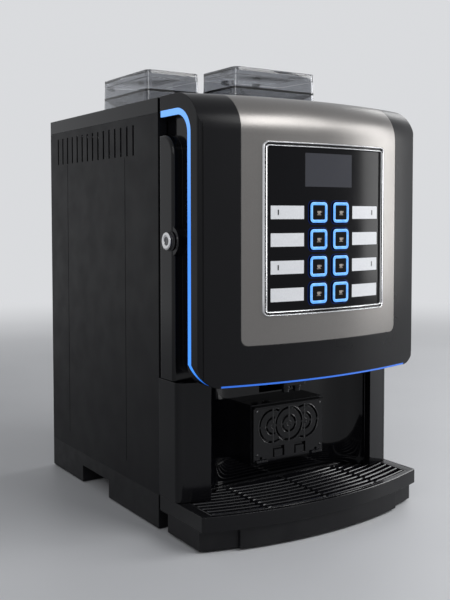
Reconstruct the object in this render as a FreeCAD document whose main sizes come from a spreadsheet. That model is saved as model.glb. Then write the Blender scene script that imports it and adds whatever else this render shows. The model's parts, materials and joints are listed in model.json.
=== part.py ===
"""Table-top bean-to-cup coffee machine, in millimetres.

+Z is up, +X is to the right of someone facing the machine, and the front faces -Y.
The origin is on the worktop, under the middle of the machine.
"""

import FreeCAD, Part
import math
import os
import Sketcher

Vector = FreeCAD.Vector
Rotation = FreeCAD.Rotation

doc = FreeCAD.newDocument("CoffeeMachine")
sheet = doc.addObject("Spreadsheet::Sheet", "Sizes")
pieces = {}


class Size:
    """A length: its value in millimetres, and the formula that ties it to the sheet."""

    def __init__(self, formula, value):
        self.formula = formula
        self.value = float(value)

    def __add__(self, other):
        other = as_size(other)
        return Size(f"({self.formula} + {other.formula})", self.value + other.value)

    def __sub__(self, other):
        other = as_size(other)
        return Size(f"({self.formula} - {other.formula})", self.value - other.value)

    def __mul__(self, other):
        other = as_size(other)
        return Size(f"({self.formula} * {other.formula})", self.value * other.value)

    def __truediv__(self, other):
        other = as_size(other)
        return Size(f"({self.formula} / {other.formula})", self.value / other.value)

    def __neg__(self):
        return Size(f"(0 - {self.formula})", -self.value)

    def __radd__(self, other):
        return as_size(other) + self

    def __rsub__(self, other):
        return as_size(other) - self

    def __rmul__(self, other):
        return as_size(other) * self


def as_size(number):
    if isinstance(number, Size):
        return number
    return Size(f"({float(number)!r})", number)


def root(size):
    return Size(f"sqrt({size.formula})", math.sqrt(size.value))


def cell(alias, value, note):
    """Writes one driving dimension into the sheet and returns it as a Size."""
    cell.row += 1
    sheet.set(f"A{cell.row}", note)
    sheet.set(f"B{cell.row}", str(value))
    sheet.setAlias(f"B{cell.row}", alias)
    return Size(f"Sizes.{alias}", value)


cell.row = 0

# Driving dimensions of the cabinet
body_width = cell("body_width", 410, "width over the side panels")
cabinet_front = cell("cabinet_front", -125.6, "Y of the side panels' front edge")
cabinet_rear = cell("cabinet_rear", 282, "Y of the rear face")
body_top = cell("body_top", 642, "height of the top cover")
panel_top = cell("panel_top", 619.5, "height of the side panels' upper edge")
plinth_top = cell("plinth_top", 52.5, "height of the moulded base")
foot_height = cell("foot_height", 4, "thickness of the rubber feet")
base_gap = cell("base_gap", 2, "gap between the base and the worktop")
front_flange = cell("front_flange", 15, "width of a side panel's front return")
sheet_metal = cell("sheet_metal", 1.5, "thickness of the folded panels")
chassis_sheet = cell("chassis_sheet", 2, "thickness of the chassis sheet")
wall = cell("wall", 3, "wall of the large mouldings")
thin_wall = cell("thin_wall", 2.5, "wall of the small mouldings")
seat_gap = cell("seat_gap", 0.3, "clearance where one piece seats on another")
slide_gap = cell("slide_gap", 0.5, "clearance of what slides past another piece")
pin_play = cell("pin_play", 0.05, "radial clearance of a pin in its hole")

# Driving dimensions of the door
door_rear = cell("door_rear", -127.2, "Y of the door's rear face")
door_apex = cell("door_apex", -270, "Y of the door's foremost line")
door_bow = cell("door_bow", 700, "radius of the door's bow in plan")
door_bottom = cell("door_bottom", 230.5, "height of the door's lower edge")
door_roll = cell("door_roll", 58, "radius of the roll from the front to the top")
door_corner = cell("door_corner", 30, "radius of the door's lower corners, seen from the front")
door_edge = cell("door_edge", 6, "radius of the door's rear vertical edges")
door_skin = cell("door_skin", 3.5, "wall of the door's outer shell")
rim_depth = cell("rim_depth", 30, "depth of the rim that carries the light strip")
rim_width = cell("rim_width", 14, "width of that rim across the door")
strip_inset = cell("strip_inset", 21, "distance of the light strip from the door's front")
strip_width = cell("strip_width", 9, "width of the light strip")
strip_thickness = cell("strip_thickness", 2.5, "thickness of the light strip")
strip_recess = cell("strip_recess", 0.5, "depth of the light strip below the rim")
core_inset = cell("core_inset", 16, "depth of the groove round the door's side")
rim_box_front = cell("rim_box_front", -168.5, "Y of the inner shell's front edge, seen from the side")
rim_box_top = cell("rim_box_top", 587, "height of the inner shell, seen from the side")
rim_box_corner = cell("rim_box_corner", 30, "radius of the inner shell's upper corner")

# Driving dimensions of the control panel
fascia_half = cell("fascia_half", 146, "half width of the silver fascia")
fascia_bottom = cell("fascia_bottom", 287.5, "height of the silver fascia's lower edge")
fascia_corner = cell("fascia_corner", 11, "radius of the silver fascia's lower corners")
fascia_sheet = cell("fascia_sheet", 1.6, "thickness of the silver fascia")
bezel_half = cell("bezel_half", 115, "half width of the chrome bezel")
bezel_low = cell("bezel_low", 327, "height of the bezel's lower edge")
bezel_high = cell("bezel_high", 574.2, "height of the bezel's upper edge")
bezel_band = cell("bezel_band", 8, "width of the chrome band")
bezel_proud = cell("bezel_proud", 3.5, "height of the bezel above the fascia")
bezel_corner = cell("bezel_corner", 9, "radius of the bezel's corners")
glass_sheet = cell("glass_sheet", 4.5, "thickness of the black panel")
screen_half = cell("screen_half", 44, "half width of the display")
screen_low = cell("screen_low", 511, "height of the display's lower edge")
screen_high = cell("screen_high", 559, "height of the display's upper edge")
key_width = cell("key_width", 31.5, "width of a key")
key_height = cell("key_height", 30.5, "height of a key")
key_corner = cell("key_corner", 6, "corner radius of a key")
key_column = cell("key_column", 21, "distance of a key's centre from the middle")
key_pitch = cell("key_pitch", 39, "pitch of the rows of keys")
key_low = cell("key_low", 357, "height of the lowest row of keys")
key_proud = cell("key_proud", 2, "height of a key above the panel")
key_travel = cell("key_travel", 1.5, "travel of a key")
key_gap = cell("key_gap", 0.35, "clearance round a key")
label_width = cell("label_width", 55, "width of a label strip")
label_height = cell("label_height", 19, "height of a label strip")
label_centre = cell("label_centre", 73.5, "distance of a label strip's centre from the middle")

# Driving dimensions of the cup station
tray_top = cell("tray_top", 54.7, "height of the drip tray's rim")
tray_low = cell("tray_low", 33.5, "height of the drip tray's underside")
tray_apex = cell("tray_apex", -282, "Y of the drip tray's foremost line")
tray_bow = cell("tray_bow", 618, "radius of the drip tray's bow in plan")
tray_rear = cell("tray_rear", -128, "Y of the drip tray's rear edge")
grille_sheet = cell("grille_sheet", 6, "thickness of the grille")
grille_pitch = cell("grille_pitch", 9, "pitch of the grille's slats")
grille_slot = cell("grille_slot", 4.6, "width of the slots between the slats")
post_inner = cell("post_inner", 156, "distance of the posts' inner face from the middle")
post_apex = cell("post_apex", -212, "Y of the posts' bow at the middle")
post_bow = cell("post_bow", 626, "radius of the posts' bow in plan")
ceiling_sheet = cell("ceiling_sheet", 4, "thickness of the cup station's ceiling")
liner_back = cell("liner_back", -139, "Y of the liner's back wall")
liner_flat = cell("liner_flat", 90, "half width of the liner's flat back")
liner_curve = cell("liner_curve", 68, "radius of the liner's curved sides")
liner_edge = cell("liner_edge", 153.5, "distance of the liner's front edges from the middle")
shelf_half = cell("shelf_half", 68, "half width of the cup shelf")
shelf_low = cell("shelf_low", 89, "height of the folded cup shelf's lower edge")
shelf_high = cell("shelf_high", 176.5, "height of the folded cup shelf's upper edge")
shelf_front = cell("shelf_front", -175, "Y of the folded cup shelf's front")
shelf_sheet = cell("shelf_sheet", 3.4, "thickness of the cup shelf")
bin_half = cell("bin_half", 128, "half width of the grounds bin")
bin_top = cell("bin_top", 188, "height of the grounds bin's rim")
bin_rear = cell("bin_rear", 40, "Y of the grounds bin's rear wall")
nozzle_tip = cell("nozzle_tip", 196, "height of the nozzle tips")
nozzle_reach = cell("nozzle_reach", -180, "Y of the nozzle tips")

# Driving dimensions of the hoppers and grinders
hopper_long = cell("hopper_long", 174, "length of a hopper")
hopper_short = cell("hopper_short", 106, "width of a hopper")
hopper_rim = cell("hopper_rim", 708, "height of a hopper's rim")
hopper_draft = cell("hopper_draft", 4, "draft of a hopper's sides over its height")
hopper_corner = cell("hopper_corner", 14, "corner radius of a hopper")
hopper_wall = cell("hopper_wall", 2.2, "wall of a hopper")
lid_top = cell("lid_top", 720.5, "height of a closed lid")
throat_radius = cell("throat_radius", 19, "bore of a hopper's throat")
front_hopper_x = cell("front_hopper_x", 82, "X of the front hopper's middle")
front_hopper_y = cell("front_hopper_y", 21, "Y of the front hopper's middle")
rear_hopper_x = cell("rear_hopper_x", -60, "X of the rear hopper's middle")
rear_hopper_y = cell("rear_hopper_y", 163, "Y of the rear hopper's middle")
grinder_radius = cell("grinder_radius", 42, "radius of a grinder's head")
grinder_top = cell("grinder_top", 614, "height of a grinder's head")
burr_radius = cell("burr_radius", 29, "radius of a burr")

# Driving dimensions of the inside
divider_y = cell("divider_y", 75, "Y of the wall between the front and rear compartments")
service_shelf = cell("service_shelf", 231, "height of the shelf that carries the brew unit")
powder_shelf = cell("powder_shelf", 300, "height of the shelf that carries the canisters")
brew_x = cell("brew_x", 85, "X of the brew chamber's axis")
brew_y = cell("brew_y", -55, "Y of the brew chamber's axis")
chamber_radius = cell("chamber_radius", 26, "bore of the brew chamber")
canister_width = cell("canister_width", 74, "width of a powder canister")
canister_front = cell("canister_front", -108, "Y of a canister's front")
canister_middle = cell("canister_middle", -105, "X halfway between the two canisters")
canister_pitch = cell("canister_pitch", 82, "pitch of the two canisters")
auger_radius = cell("auger_radius", 12, "radius of an auger")
whipper_radius = cell("whipper_radius", 14, "radius of the whipper")
fan_x = cell("fan_x", -110, "X of the fan")
fan_z = cell("fan_z", 470, "height of the fan's axis")
fan_radius = cell("fan_radius", 40, "radius of the fan's duct")
lock_y = cell("lock_y", -160, "Y of the lock's axis")
lock_z = cell("lock_z", 433, "height of the lock's axis")
lock_head = cell("lock_head", 12.5, "radius of the lock's head")
lock_barrel = cell("lock_barrel", 9.5, "radius of the lock's barrel")
lock_boss = cell("lock_boss", 22, "radius of the boss round the lock")
inlet_x = cell("inlet_x", -130, "X of the water inlet")
inlet_z = cell("inlet_z", 112, "height of the water inlet")
inlet_radius = cell("inlet_radius", 13.2, "radius of the inlet's 3/4 inch thread")
inlet_length = cell("inlet_length", 16, "length of the inlet's thread")

side = body_width / 2
doc.recompute()

# Helpers: every solid below is built from these, and each is tied to the sheet
TURNS = {
    "XY": Rotation(),
    "XZ": Rotation(Vector(1, 0, 0), 90),
    "YZ": Rotation(Vector(1, 1, 1), 120),
}
FRONT_REACH = -400  # Y in front of the whole machine, where cuts from the front begin
DOOR_MIDDLE = -200  # Y inside the door, behind its panel and keys
NORMALS = {"XY": "z", "XZ": "y", "YZ": "x"}
ALONG = {"x": Vector(1, 0, 0), "y": Vector(0, 1, 0), "z": Vector(0, 0, 1)}
LYING = {
    "x": Rotation(Vector(0, 1, 0), 90),
    "y": Rotation(Vector(1, 0, 0), -90),
    "z": Rotation(),
}


def bind(item, prop, size):
    item.setExpression(prop, as_size(size).formula)


def place(item, x, y, z):
    for letter, size in zip("xyz", (x, y, z)):
        bind(item, f"Placement.Base.{letter}", size)


def box(x, y, z):
    """A block between two corners: each argument is (low, high)."""
    block = doc.addObject("Part::Box", "Block")
    for prop, (low, high) in zip(("Length", "Width", "Height"), (x, y, z)):
        bind(block, prop, as_size(high) - low)
    place(block, x[0], y[0], z[0])
    return block


def rod(axis, start, radius, length):
    """A cylinder from its start point along an axis."""
    cylinder = doc.addObject("Part::Cylinder", "Rod")
    cylinder.Placement = FreeCAD.Placement(Vector(), LYING[axis])
    bind(cylinder, "Radius", radius)
    bind(cylinder, "Height", length)
    place(cylinder, *start)
    return cylinder


def drum(axis, start, radius, length, sides=12):
    """A regular prism from its start point along an axis, for round parts that nothing turns in."""
    block = doc.addObject("Part::Prism", "Drum")
    block.Polygon = sides
    block.Placement = FreeCAD.Placement(Vector(), LYING[axis])
    bind(block, "Circumradius", radius)
    bind(block, "Height", length)
    place(block, *start)
    return block


def arc_edge(start, end, radius):
    """The short arc between two points: a positive radius turns left, a negative one right."""
    chord = end - start
    middle = (start + end) * 0.5
    rise = math.sqrt(max(radius * radius - chord.Length * chord.Length / 4, 0))
    left = Vector(-chord.y, chord.x, 0).normalize()
    centre = middle + left * (rise if radius > 0 else -rise)
    first, last = (start, end) if radius > 0 else (end, start)
    angles = [math.atan2(point.y - centre.y, point.x - centre.x) for point in (first, last)]
    if angles[1] < angles[0]:
        angles[1] += 2 * math.pi
    return Part.ArcOfCircle(Part.Circle(centre, Vector(0, 0, 1), abs(radius)), *angles)


def add_outline(sketch, outline):
    """Draws one closed outline. A corner is (u, v), or (u, v, radius) where an arc leads to it."""
    corners = [tuple(as_size(number) for number in corner) for corner in outline]
    points = [Vector(corner[0].value, corner[1].value, 0) for corner in corners]
    first = sketch.GeometryCount
    count = len(corners)
    edges = []
    for i, corner in enumerate(corners):
        if len(corner) == 3:
            edges.append(arc_edge(points[i - 1], points[i], corner[2].value))
        else:
            edges.append(Part.LineSegment(points[i - 1], points[i]))
    sketch.addGeometry(edges, False)
    backwards = [len(corner) == 3 and corner[2].value < 0 for corner in corners]
    rules = []
    formulas = []
    for i, corner in enumerate(corners):
        end = 1 if backwards[i] else 2
        following = (i + 1) % count
        start = 2 if backwards[following] else 1
        rules.append(Sketcher.Constraint("Coincident", first + i, end, first + following, start))
        formulas.append(None)
        for kind, size in (("DistanceX", corner[0]), ("DistanceY", corner[1])):
            rules.append(Sketcher.Constraint(kind, -1, 1, first + i, end, size.value))
            formulas.append(size.formula)
        if len(corner) == 3:
            rules.append(Sketcher.Constraint("Radius", first + i, abs(corner[2].value)))
            formulas.append(corner[2].formula if corner[2].value > 0 else (-corner[2]).formula)
    tie(sketch, rules, formulas)


def add_circle(sketch, u, v, radius):
    """Draws one circle."""
    u, v, radius = as_size(u), as_size(v), as_size(radius)
    centre = Vector(u.value, v.value, 0)
    circle = sketch.addGeometry(Part.Circle(centre, Vector(0, 0, 1), radius.value), False)
    rules = [
        Sketcher.Constraint("DistanceX", -1, 1, circle, 3, u.value),
        Sketcher.Constraint("DistanceY", -1, 1, circle, 3, v.value),
        Sketcher.Constraint("Radius", circle, radius.value),
    ]
    tie(sketch, rules, [u.formula, v.formula, radius.formula])


def tie(sketch, rules, formulas):
    """Adds constraints to a sketch and binds each to its formula."""
    first = sketch.ConstraintCount
    sketch.addConstraint(rules)
    for i, formula in enumerate(formulas):
        if formula:
            sketch.setExpression(f"Constraints[{first + i}]", formula)


def draw(plane, level, *outlines):
    """A sketch on a plane at a level along its normal. A circle is ("circle", u, v, radius)."""
    sketch = doc.addObject("Sketcher::SketchObject", "Outline")
    sketch.Placement = FreeCAD.Placement(Vector(), TURNS[plane])
    bind(sketch, f"Placement.Base.{NORMALS[plane]}", level)
    for outline in outlines:
        if outline[0] == "circle":
            add_circle(sketch, *outline[1:])
        else:
            add_outline(sketch, outline)
    return sketch


def prism(plane, low, high, *outlines):
    """The outlines raised from a low level to a high level along the plane's normal axis."""
    raised = doc.addObject("Part::Extrusion", "Prism")
    raised.Base = draw(plane, low, *outlines)
    raised.DirMode = "Custom"
    raised.Dir = ALONG[NORMALS[plane]]
    raised.Solid = True
    bind(raised, "LengthFwd", as_size(high) - low)
    return raised


def cut(base, *tools):
    """The base without the tools."""
    result = doc.addObject("Part::Cut", "Cut")
    result.Base = base
    result.Tool = tools[0] if len(tools) == 1 else fuse(*tools)
    return result


def fuse(*parts):
    result = doc.addObject("Part::MultiFuse", "Union")
    result.Shapes = list(parts)
    result.Refine = True
    return result


def group(*solids):
    """Separate solids kept together as one node."""
    result = doc.addObject("Part::Compound", "Group")
    result.Links = list(solids)
    return result


def common(*parts):
    result = doc.addObject("Part::MultiCommon", "Overlap")
    result.Shapes = list(parts)
    return result


def piece(name, item):
    """Registers a finished sub-part under its node's name."""
    item.Label = name
    pieces[name] = item
    return item


def rounded(u0, u1, v0, v1, radius):
    """A rectangle with four round corners."""
    return [
        (u1 - radius, v0),
        (u1, v0 + radius, radius),
        (u1, v1 - radius),
        (u1 - radius, v1, radius),
        (u0 + radius, v1),
        (u0, v1 - radius, radius),
        (u0, v0 + radius),
        (u0 + radius, v0, radius),
    ]


def softened(u0, u1, v0, v1, radius):
    """A rectangle whose round corners are drawn with three straight steps."""
    corners = ((u1, v0, 0), (u1, v1, 1), (u0, v1, 2), (u0, v0, 3))
    points = []
    for u, v, quarter in corners:
        inward_u = u - radius if quarter < 2 else u + radius
        inward_v = v + radius if quarter in (0, 3) else v - radius
        for step in range(4):
            angle = math.radians(90 * quarter - 90 + 30 * step)
            points.append((inward_u + radius * math.cos(angle), inward_v + radius * math.sin(angle)))
    return points


def rectangle(u0, u1, v0, v1):
    return [(u0, v0), (u1, v0), (u1, v1), (u0, v1)]


def bow_y(apex, radius, x):
    """Y of a bow of a given radius at a distance from the middle."""
    return apex + radius - root(radius * radius - x * x)


def bowed_plate(half, apex, radius, rear):
    """Plan of a plate with a bowed front and a straight rear, symmetrical about the middle."""
    corner = bow_y(apex, radius, half)
    return [(half, corner, radius), (half, rear), (-half, rear), (-half, corner)]


# Base: a closed moulding with a hand-hold notch on each side
plinth_front = cell("plinth_front", -123, "Y of the base's front wall")
notch_front = cell("notch_front", 47, "Y where the hand-hold starts")
notch_rear = cell("notch_rear", 150, "Y where the hand-hold ends")
notch_top = cell("notch_top", 30.7, "height of the hand-hold")
notch_depth = cell("notch_depth", 40, "depth of the hand-hold")
runner_half = cell("runner_half", 105, "distance of the bin's runners from the middle")
runner_width = cell("runner_width", 10, "width of a runner")
foot_radius = cell("foot_radius", 16, "radius of a rubber foot")
foot_inset = cell("foot_inset", 24, "distance of a foot's centre from the side")
skirt_set = cell("skirt_set", 5, "distance of the tray skirt behind the tray's front")
panel_half = cell("panel_half", 150, "half width of the skirt's middle panel")
bin_floor = tray_top + slide_gap


def hand_hold(sign, margin):
    """The notch on one side, grown by a margin."""
    outer = sign * (side + 20)
    inner = sign * (side - notch_depth - margin)
    x = (outer, inner) if sign < 0 else (inner, outer)
    return box(x, (notch_front - margin, notch_rear + margin), (-5, notch_top + margin))


plinth_shell = cut(
    box((-side, side), (plinth_front, cabinet_rear), (base_gap, plinth_top)),
    hand_hold(-1, 0),
    hand_hold(1, 0),
)
plinth_hollow = cut(
    box(
        (wall - side, side - wall),
        (plinth_front + wall, cabinet_rear - wall),
        (base_gap + wall, plinth_top - wall),
    ),
    hand_hold(-1, wall),
    hand_hold(1, wall),
)
foot_x = side - foot_inset
rear_foot_y = cabinet_rear - foot_inset
mid_foot_y = plinth_front + foot_inset
front_foot_y = cell("front_foot_y", -222, "Y of the front feet")
foot_places = [(x, y) for y in (rear_foot_y, mid_foot_y) for x in (-foot_x, foot_x)]
front_feet = [(-foot_x, front_foot_y), (foot_x, front_foot_y)]
foot_sockets = [drum("z", (x, y, 0), foot_radius + seat_gap, foot_height) for x, y in foot_places]
runners = [
    box((x - runner_width / 2, x + runner_width / 2), (plinth_front, bin_rear),
        (plinth_top, bin_floor - seat_gap))
    for x in (-runner_half, runner_half)
]
pad_half = foot_radius + wall
foot_pads = [
    box((x - pad_half, x + pad_half), (y - pad_half, y + pad_half), (base_gap, plinth_top - wall))
    for x, y in foot_places
]
piece(
    "base_plinth",
    cut(fuse(cut(plinth_shell, cut(plinth_hollow, *foot_pads)), *runners), *foot_sockets),
)
piece(
    "rubber_feet",
    group(*[drum("z", (x, y, 0), foot_radius, foot_height) for x, y in foot_places + front_feet]),
)

# Tray cradle: a deck with a bowed skirt, which carries the drip tray
deck_top = tray_low - seat_gap
deck_low = deck_top - wall
skirt_apex = tray_apex + skirt_set
skirt_bow = tray_bow - skirt_set
skirt_low = cell("skirt_low", 4, "height of the skirt's lower edge")
skirt_half = side - sheet_metal
corner_set = cell("corner_set", 6, "distance of the skirt's corners behind its middle panel")


def bowed_wall(apex, radius, thickness, half):
    """Plan of a wall that follows a bow between the two sides."""
    front = bow_y(apex, radius, half)
    rear = bow_y(apex + thickness, radius - thickness, half)
    return [(half, front, radius), (half, rear), (-half, rear, thickness - radius), (-half, front)]


deck = prism(
    "XY", deck_low, deck_top,
    bowed_plate(skirt_half, skirt_apex, skirt_bow, plinth_front),
)
middle_skirt = prism("XY", skirt_low, deck_low, bowed_wall(skirt_apex, skirt_bow, wall, panel_half))
corner_apex = skirt_apex + corner_set
corner_bow = skirt_bow - corner_set
corner_skirt = cut(
    prism("XY", skirt_low, deck_low, bowed_wall(corner_apex, corner_bow, wall, skirt_half)),
    box((-panel_half, panel_half), (FRONT_REACH, 0), (0, deck_low)),
)
skirt_joint = bow_y(corner_apex + wall, corner_bow - wall, panel_half)
skirt_steps = [
    box((x, x + wall), (bow_y(skirt_apex, skirt_bow, panel_half) + 1, skirt_joint),
        (skirt_low, deck_low))
    for x in (-panel_half, panel_half - wall)
]
side_skirt_rear = cell("side_skirt_rear", -148, "Y where the tray cradle's side skirt ends")
side_skirts = [
    box((x, x + wall), (bow_y(corner_apex + wall, corner_bow - wall, skirt_half), side_skirt_rear),
        (skirt_low, deck_low))
    for x in (-skirt_half, skirt_half - wall)
]
front_pads = [drum("z", (x, y, foot_height), foot_radius, deck_low - foot_height)
              for x, y in front_feet]
piece("tray_base", fuse(deck, middle_skirt, corner_skirt, *skirt_steps, *side_skirts, *front_pads))

# Side panels: folded sheet with vent slots and two pressed creases
vent_low = cell("vent_low", 562, "height of the vent slots' lower ends")
vent_length = cell("vent_length", 46, "length of a vent slot")
vent_width = cell("vent_width", 5, "width of a vent slot")
vent_pitch = cell("vent_pitch", 21, "pitch of the vent slots")
vent_first = cell("vent_first", -50, "Y of the first vent slot")
vent_count = 15
rear_flange = cell("rear_flange", 13, "width of a side panel's rear return")
crease_low = cell("crease_low", 80, "height of the creases' lower ends")
crease_high = cell("crease_high", 560, "height of the creases' upper ends")
crease_depth = cell("crease_depth", 0.5, "depth of a crease")
crease_width = cell("crease_width", 1.6, "width of a crease")
crease_front = cell("crease_front", -19, "Y of the front crease")
crease_rear = cell("crease_rear", 205, "Y of the rear crease")
panel_rear = cabinet_rear - sheet_metal - seat_gap


def side_panel(name, sign):
    """One folded side panel: a PartDesign body with its slots patterned along Y."""
    outer = sign * side
    inner = sign * (side - sheet_metal)
    front_tip = sign * (side - front_flange)
    rear_tip = sign * (side - rear_flange)
    body = doc.addObject("PartDesign::Body", name)
    base_plane = [f for f in body.Origin.OriginFeatures if f.Role == "XY_Plane"][0]
    side_plane = [f for f in body.Origin.OriginFeatures if f.Role == "YZ_Plane"][0]
    plan = body.newObject("Sketcher::SketchObject", name + "_plan")
    plan.AttachmentSupport = (base_plane, [""])
    plan.MapMode = "FlatFace"
    bind(plan, "AttachmentOffset.Base.z", plinth_top + seat_gap)
    add_outline(plan, [
        (outer, cabinet_front),
        (outer, panel_rear),
        (rear_tip, panel_rear),
        (rear_tip, panel_rear - sheet_metal),
        (inner, panel_rear - sheet_metal),
        (inner, cabinet_front + sheet_metal),
        (front_tip, cabinet_front + sheet_metal),
        (front_tip, cabinet_front),
    ])
    pad = body.newObject("PartDesign::Pad", name + "_sheet")
    pad.Profile = plan
    bind(pad, "Length", panel_top - plinth_top - seat_gap)
    slot = body.newObject("Sketcher::SketchObject", name + "_slot")
    slot.AttachmentSupport = (side_plane, [""])
    slot.MapMode = "FlatFace"
    add_outline(slot, rectangle(vent_first, vent_first + vent_width, vent_low,
                                vent_low + vent_length))
    vent = body.newObject("PartDesign::Pocket", name + "_vent")
    vent.Profile = slot
    vent.Type = "Length"
    vent.Midplane = False
    vent.Reversed = sign > 0
    bind(vent, "Length", side + 5)
    row = body.newObject("PartDesign::LinearPattern", name + "_vents")
    row.Originals = [vent]
    row.Direction = (slot, ["H_Axis"])
    bind(row, "Length", vent_pitch * (vent_count - 1))
    row.Occurrences = vent_count
    body.Tip = row
    creases = [
        box(sorted_span(outer, sign * (side - crease_depth)),
            (y - crease_width / 2, y + crease_width / 2), (crease_low, crease_high))
        for y in (crease_front, crease_rear)
    ]
    return piece(name, cut(body, *creases))


def sorted_span(a, b):
    """Two levels in rising order."""
    return (a, b) if as_size(a).value < as_size(b).value else (b, a)


side_panel("side_panel_left", -1)
side_panel("side_panel_right", 1)

# Rear panel: a flat sheet with a fan grille and openings for water and mains
socket_x = cell("socket_x", 150, "X of the mains socket")
socket_z = cell("socket_z", 100, "height of the mains socket")
socket_width = cell("socket_width", 27, "width of the socket's body")
socket_height = cell("socket_height", 20, "height of the socket's body")
inlet_window = cell("inlet_window", 28, "half size of the opening round the water inlet")
grille_bars = [
    box((fan_x - half, fan_x + half), (cabinet_rear - 5, cabinet_rear + 5),
        (fan_z + rise - 2.5, fan_z + rise + 2.5))
    for rise, half in ((-30, 22), (-20, 32), (-10, 37), (0, 39), (10, 37), (20, 32), (30, 22))
]
piece(
    "rear_panel",
    cut(
        box((-side, side), (cabinet_rear - sheet_metal, cabinet_rear),
            (plinth_top + seat_gap, panel_top)),
        box((inlet_x - inlet_window, inlet_x + inlet_window), (cabinet_rear - 5, cabinet_rear + 5),
            (inlet_z - inlet_window, inlet_z + inlet_window)),
        box((socket_x - socket_width / 2 - seat_gap, socket_x + socket_width / 2 + seat_gap),
            (cabinet_rear - 5, cabinet_rear + 5),
            (socket_z - socket_height / 2 - seat_gap, socket_z + socket_height / 2 + seat_gap)),
        *grille_bars,
    ),
)

# Top cover: a shallow lid over the cabinet with a hole for each hopper's throat
cover_front = cabinet_front + seat_gap
throat_outer = throat_radius + hopper_wall
hopper_places = [(front_hopper_x, front_hopper_y), (rear_hopper_x, rear_hopper_y)]
cover_low = panel_top + seat_gap
piece(
    "top_cover",
    cut(
        box((-side, side), (cover_front, cabinet_rear), (cover_low, body_top)),
        box((wall - side, side - wall), (cover_front + wall, cabinet_rear - wall),
            (cover_low - 1, body_top - wall)),
        *[drum("z", (x, y, body_top - 2 * wall), throat_outer + slide_gap, 3 * wall, 16)
          for x, y in hopper_places],
    ),
)

# Inner chassis: a dividing wall, the service shelf with its front lip, and the powder shelf
chassis_half = side - sheet_metal - seat_gap
lip_low = cell("lip_low", 200, "height of the service shelf's front lip")
chute_half = cell("chute_half", 32, "half width of the grounds opening in the shelf")
powder_inner = cell("powder_inner", -34.5, "X of the powder shelf's inner edge")
lip_front = cabinet_front + sheet_metal + seat_gap
dividing_wall = cut(
    box((-chassis_half, chassis_half), (divider_y, divider_y + chassis_sheet),
        (plinth_top, panel_top - seat_gap)),
    box((-20, 40), (divider_y - 5, divider_y + 10), (500, 580)),
)
shelf_plate = cut(
    box((-chassis_half, chassis_half), (lip_front, divider_y),
        (service_shelf, service_shelf + chassis_sheet)),
    box((-chute_half, chute_half), (-70, -10), (service_shelf - 5, service_shelf + 10)),
)
front_lip = box((-chassis_half, chassis_half), (lip_front, lip_front + chassis_sheet),
                (lip_low, service_shelf))
powder_plate = box((-chassis_half, powder_inner), (canister_front + 2, divider_y),
                   (powder_shelf - chassis_sheet, powder_shelf))
outlet_y = canister_front + 20
powder_holes = [
    drum("z", (canister_middle + offset, outlet_y, powder_shelf - 10), 12.5, 20)
    for offset in (-canister_pitch / 2, canister_pitch / 2)
]
powder_post = box((powder_inner - chassis_sheet, powder_inner), (canister_front + 2, divider_y),
                  (service_shelf + chassis_sheet, powder_shelf - chassis_sheet))
piece(
    "inner_chassis",
    cut(fuse(dividing_wall, shelf_plate, front_lip, powder_plate, powder_post), *powder_holes),
)

# Front frame: the two posts of the cup station and its ceiling, in one moulding
post_low = tray_top + slide_gap
post_high = door_bottom - 1
post_round = cell("post_round", 10, "radius of the posts' outer corners")
post_side_y = bow_y(post_apex, post_bow, side)
post_side_x = side - post_round
hinge_x = side - door_edge
hinge_y = door_rear - door_edge
pin_radius = cell("pin_radius", 3, "radius of the hinge pins")
pin_length = cell("pin_length", 13, "length of the hinge pins")
hinge_arm = cell("hinge_arm", 4, "thickness of the hinge brackets")
arm_half = cell("arm_half", 6, "half width of a hinge bracket")


def post(sign):
    """A post with a bowed front, hollow towards the cabinet."""
    front = bow_y(post_apex, post_bow, post_side_x)
    inner_y = bow_y(post_apex, post_bow, post_inner)
    shape = [
        (sign * post_inner, cabinet_front),
        (sign * post_inner, inner_y),
        (sign * post_side_x, front, sign * post_bow),
        (sign * side, front + post_round, sign * post_round),
        (sign * side, cabinet_front),
    ]
    span = sorted_span(sign * (post_inner + wall), sign * (side - wall))
    solid = prism("XY", post_low, post_high, shape)
    return cut(solid, box(span, (post_side_y + 6, cabinet_front + 5),
                          (post_low - 5, post_high - ceiling_sheet)))


nozzle_bay = cell("nozzle_bay", 32, "half width of the nozzle's opening in the ceiling")
ceiling = cut(
    prism("XY", post_high - ceiling_sheet, post_high,
          bowed_plate(post_inner + 1, post_apex + wall, post_bow - wall, cabinet_front)),
    box((-nozzle_bay, nozzle_bay), (nozzle_reach - 14, cabinet_front + 5),
        (post_low, post_high + 5)),
)
bracket_seat = box((side - front_flange - seat_gap, side + 5), (hinge_y - 10, cabinet_front + 5),
                   (post_high - hinge_arm - seat_gap, post_high + 5))
piece("front_frame", cut(fuse(post(-1), post(1), ceiling), bracket_seat))

# Hinge brackets: an arm with a pin, and a leg screwed to the cabinet's front return
leg_sheet = cell("leg_sheet", 1.2, "thickness of the hinge brackets' legs")
leg_length = cell("leg_length", 26, "length of the hinge brackets' legs")


def hinge_bracket(arm_low, leg, pin_low):
    """One bracket: its arm, its leg and its pin."""
    arm_front = hinge_y - arm_half
    arm = box((hinge_x - arm_half, side), (arm_front, cabinet_front), (arm_low, arm_low + hinge_arm))
    rounding = rod("z", (hinge_x, hinge_y, arm_low), arm_half, hinge_arm)
    block = box((hinge_x - arm_half, side), (hinge_y, cabinet_front), (arm_low, arm_low + hinge_arm))
    plate = box((side - front_flange, hinge_x), (cabinet_front - leg_sheet, cabinet_front), leg)
    pin = rod("z", (hinge_x, hinge_y, pin_low), pin_radius, pin_length + 1)
    return fuse(common(arm, fuse(rounding, block)), plate, pin)


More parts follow.
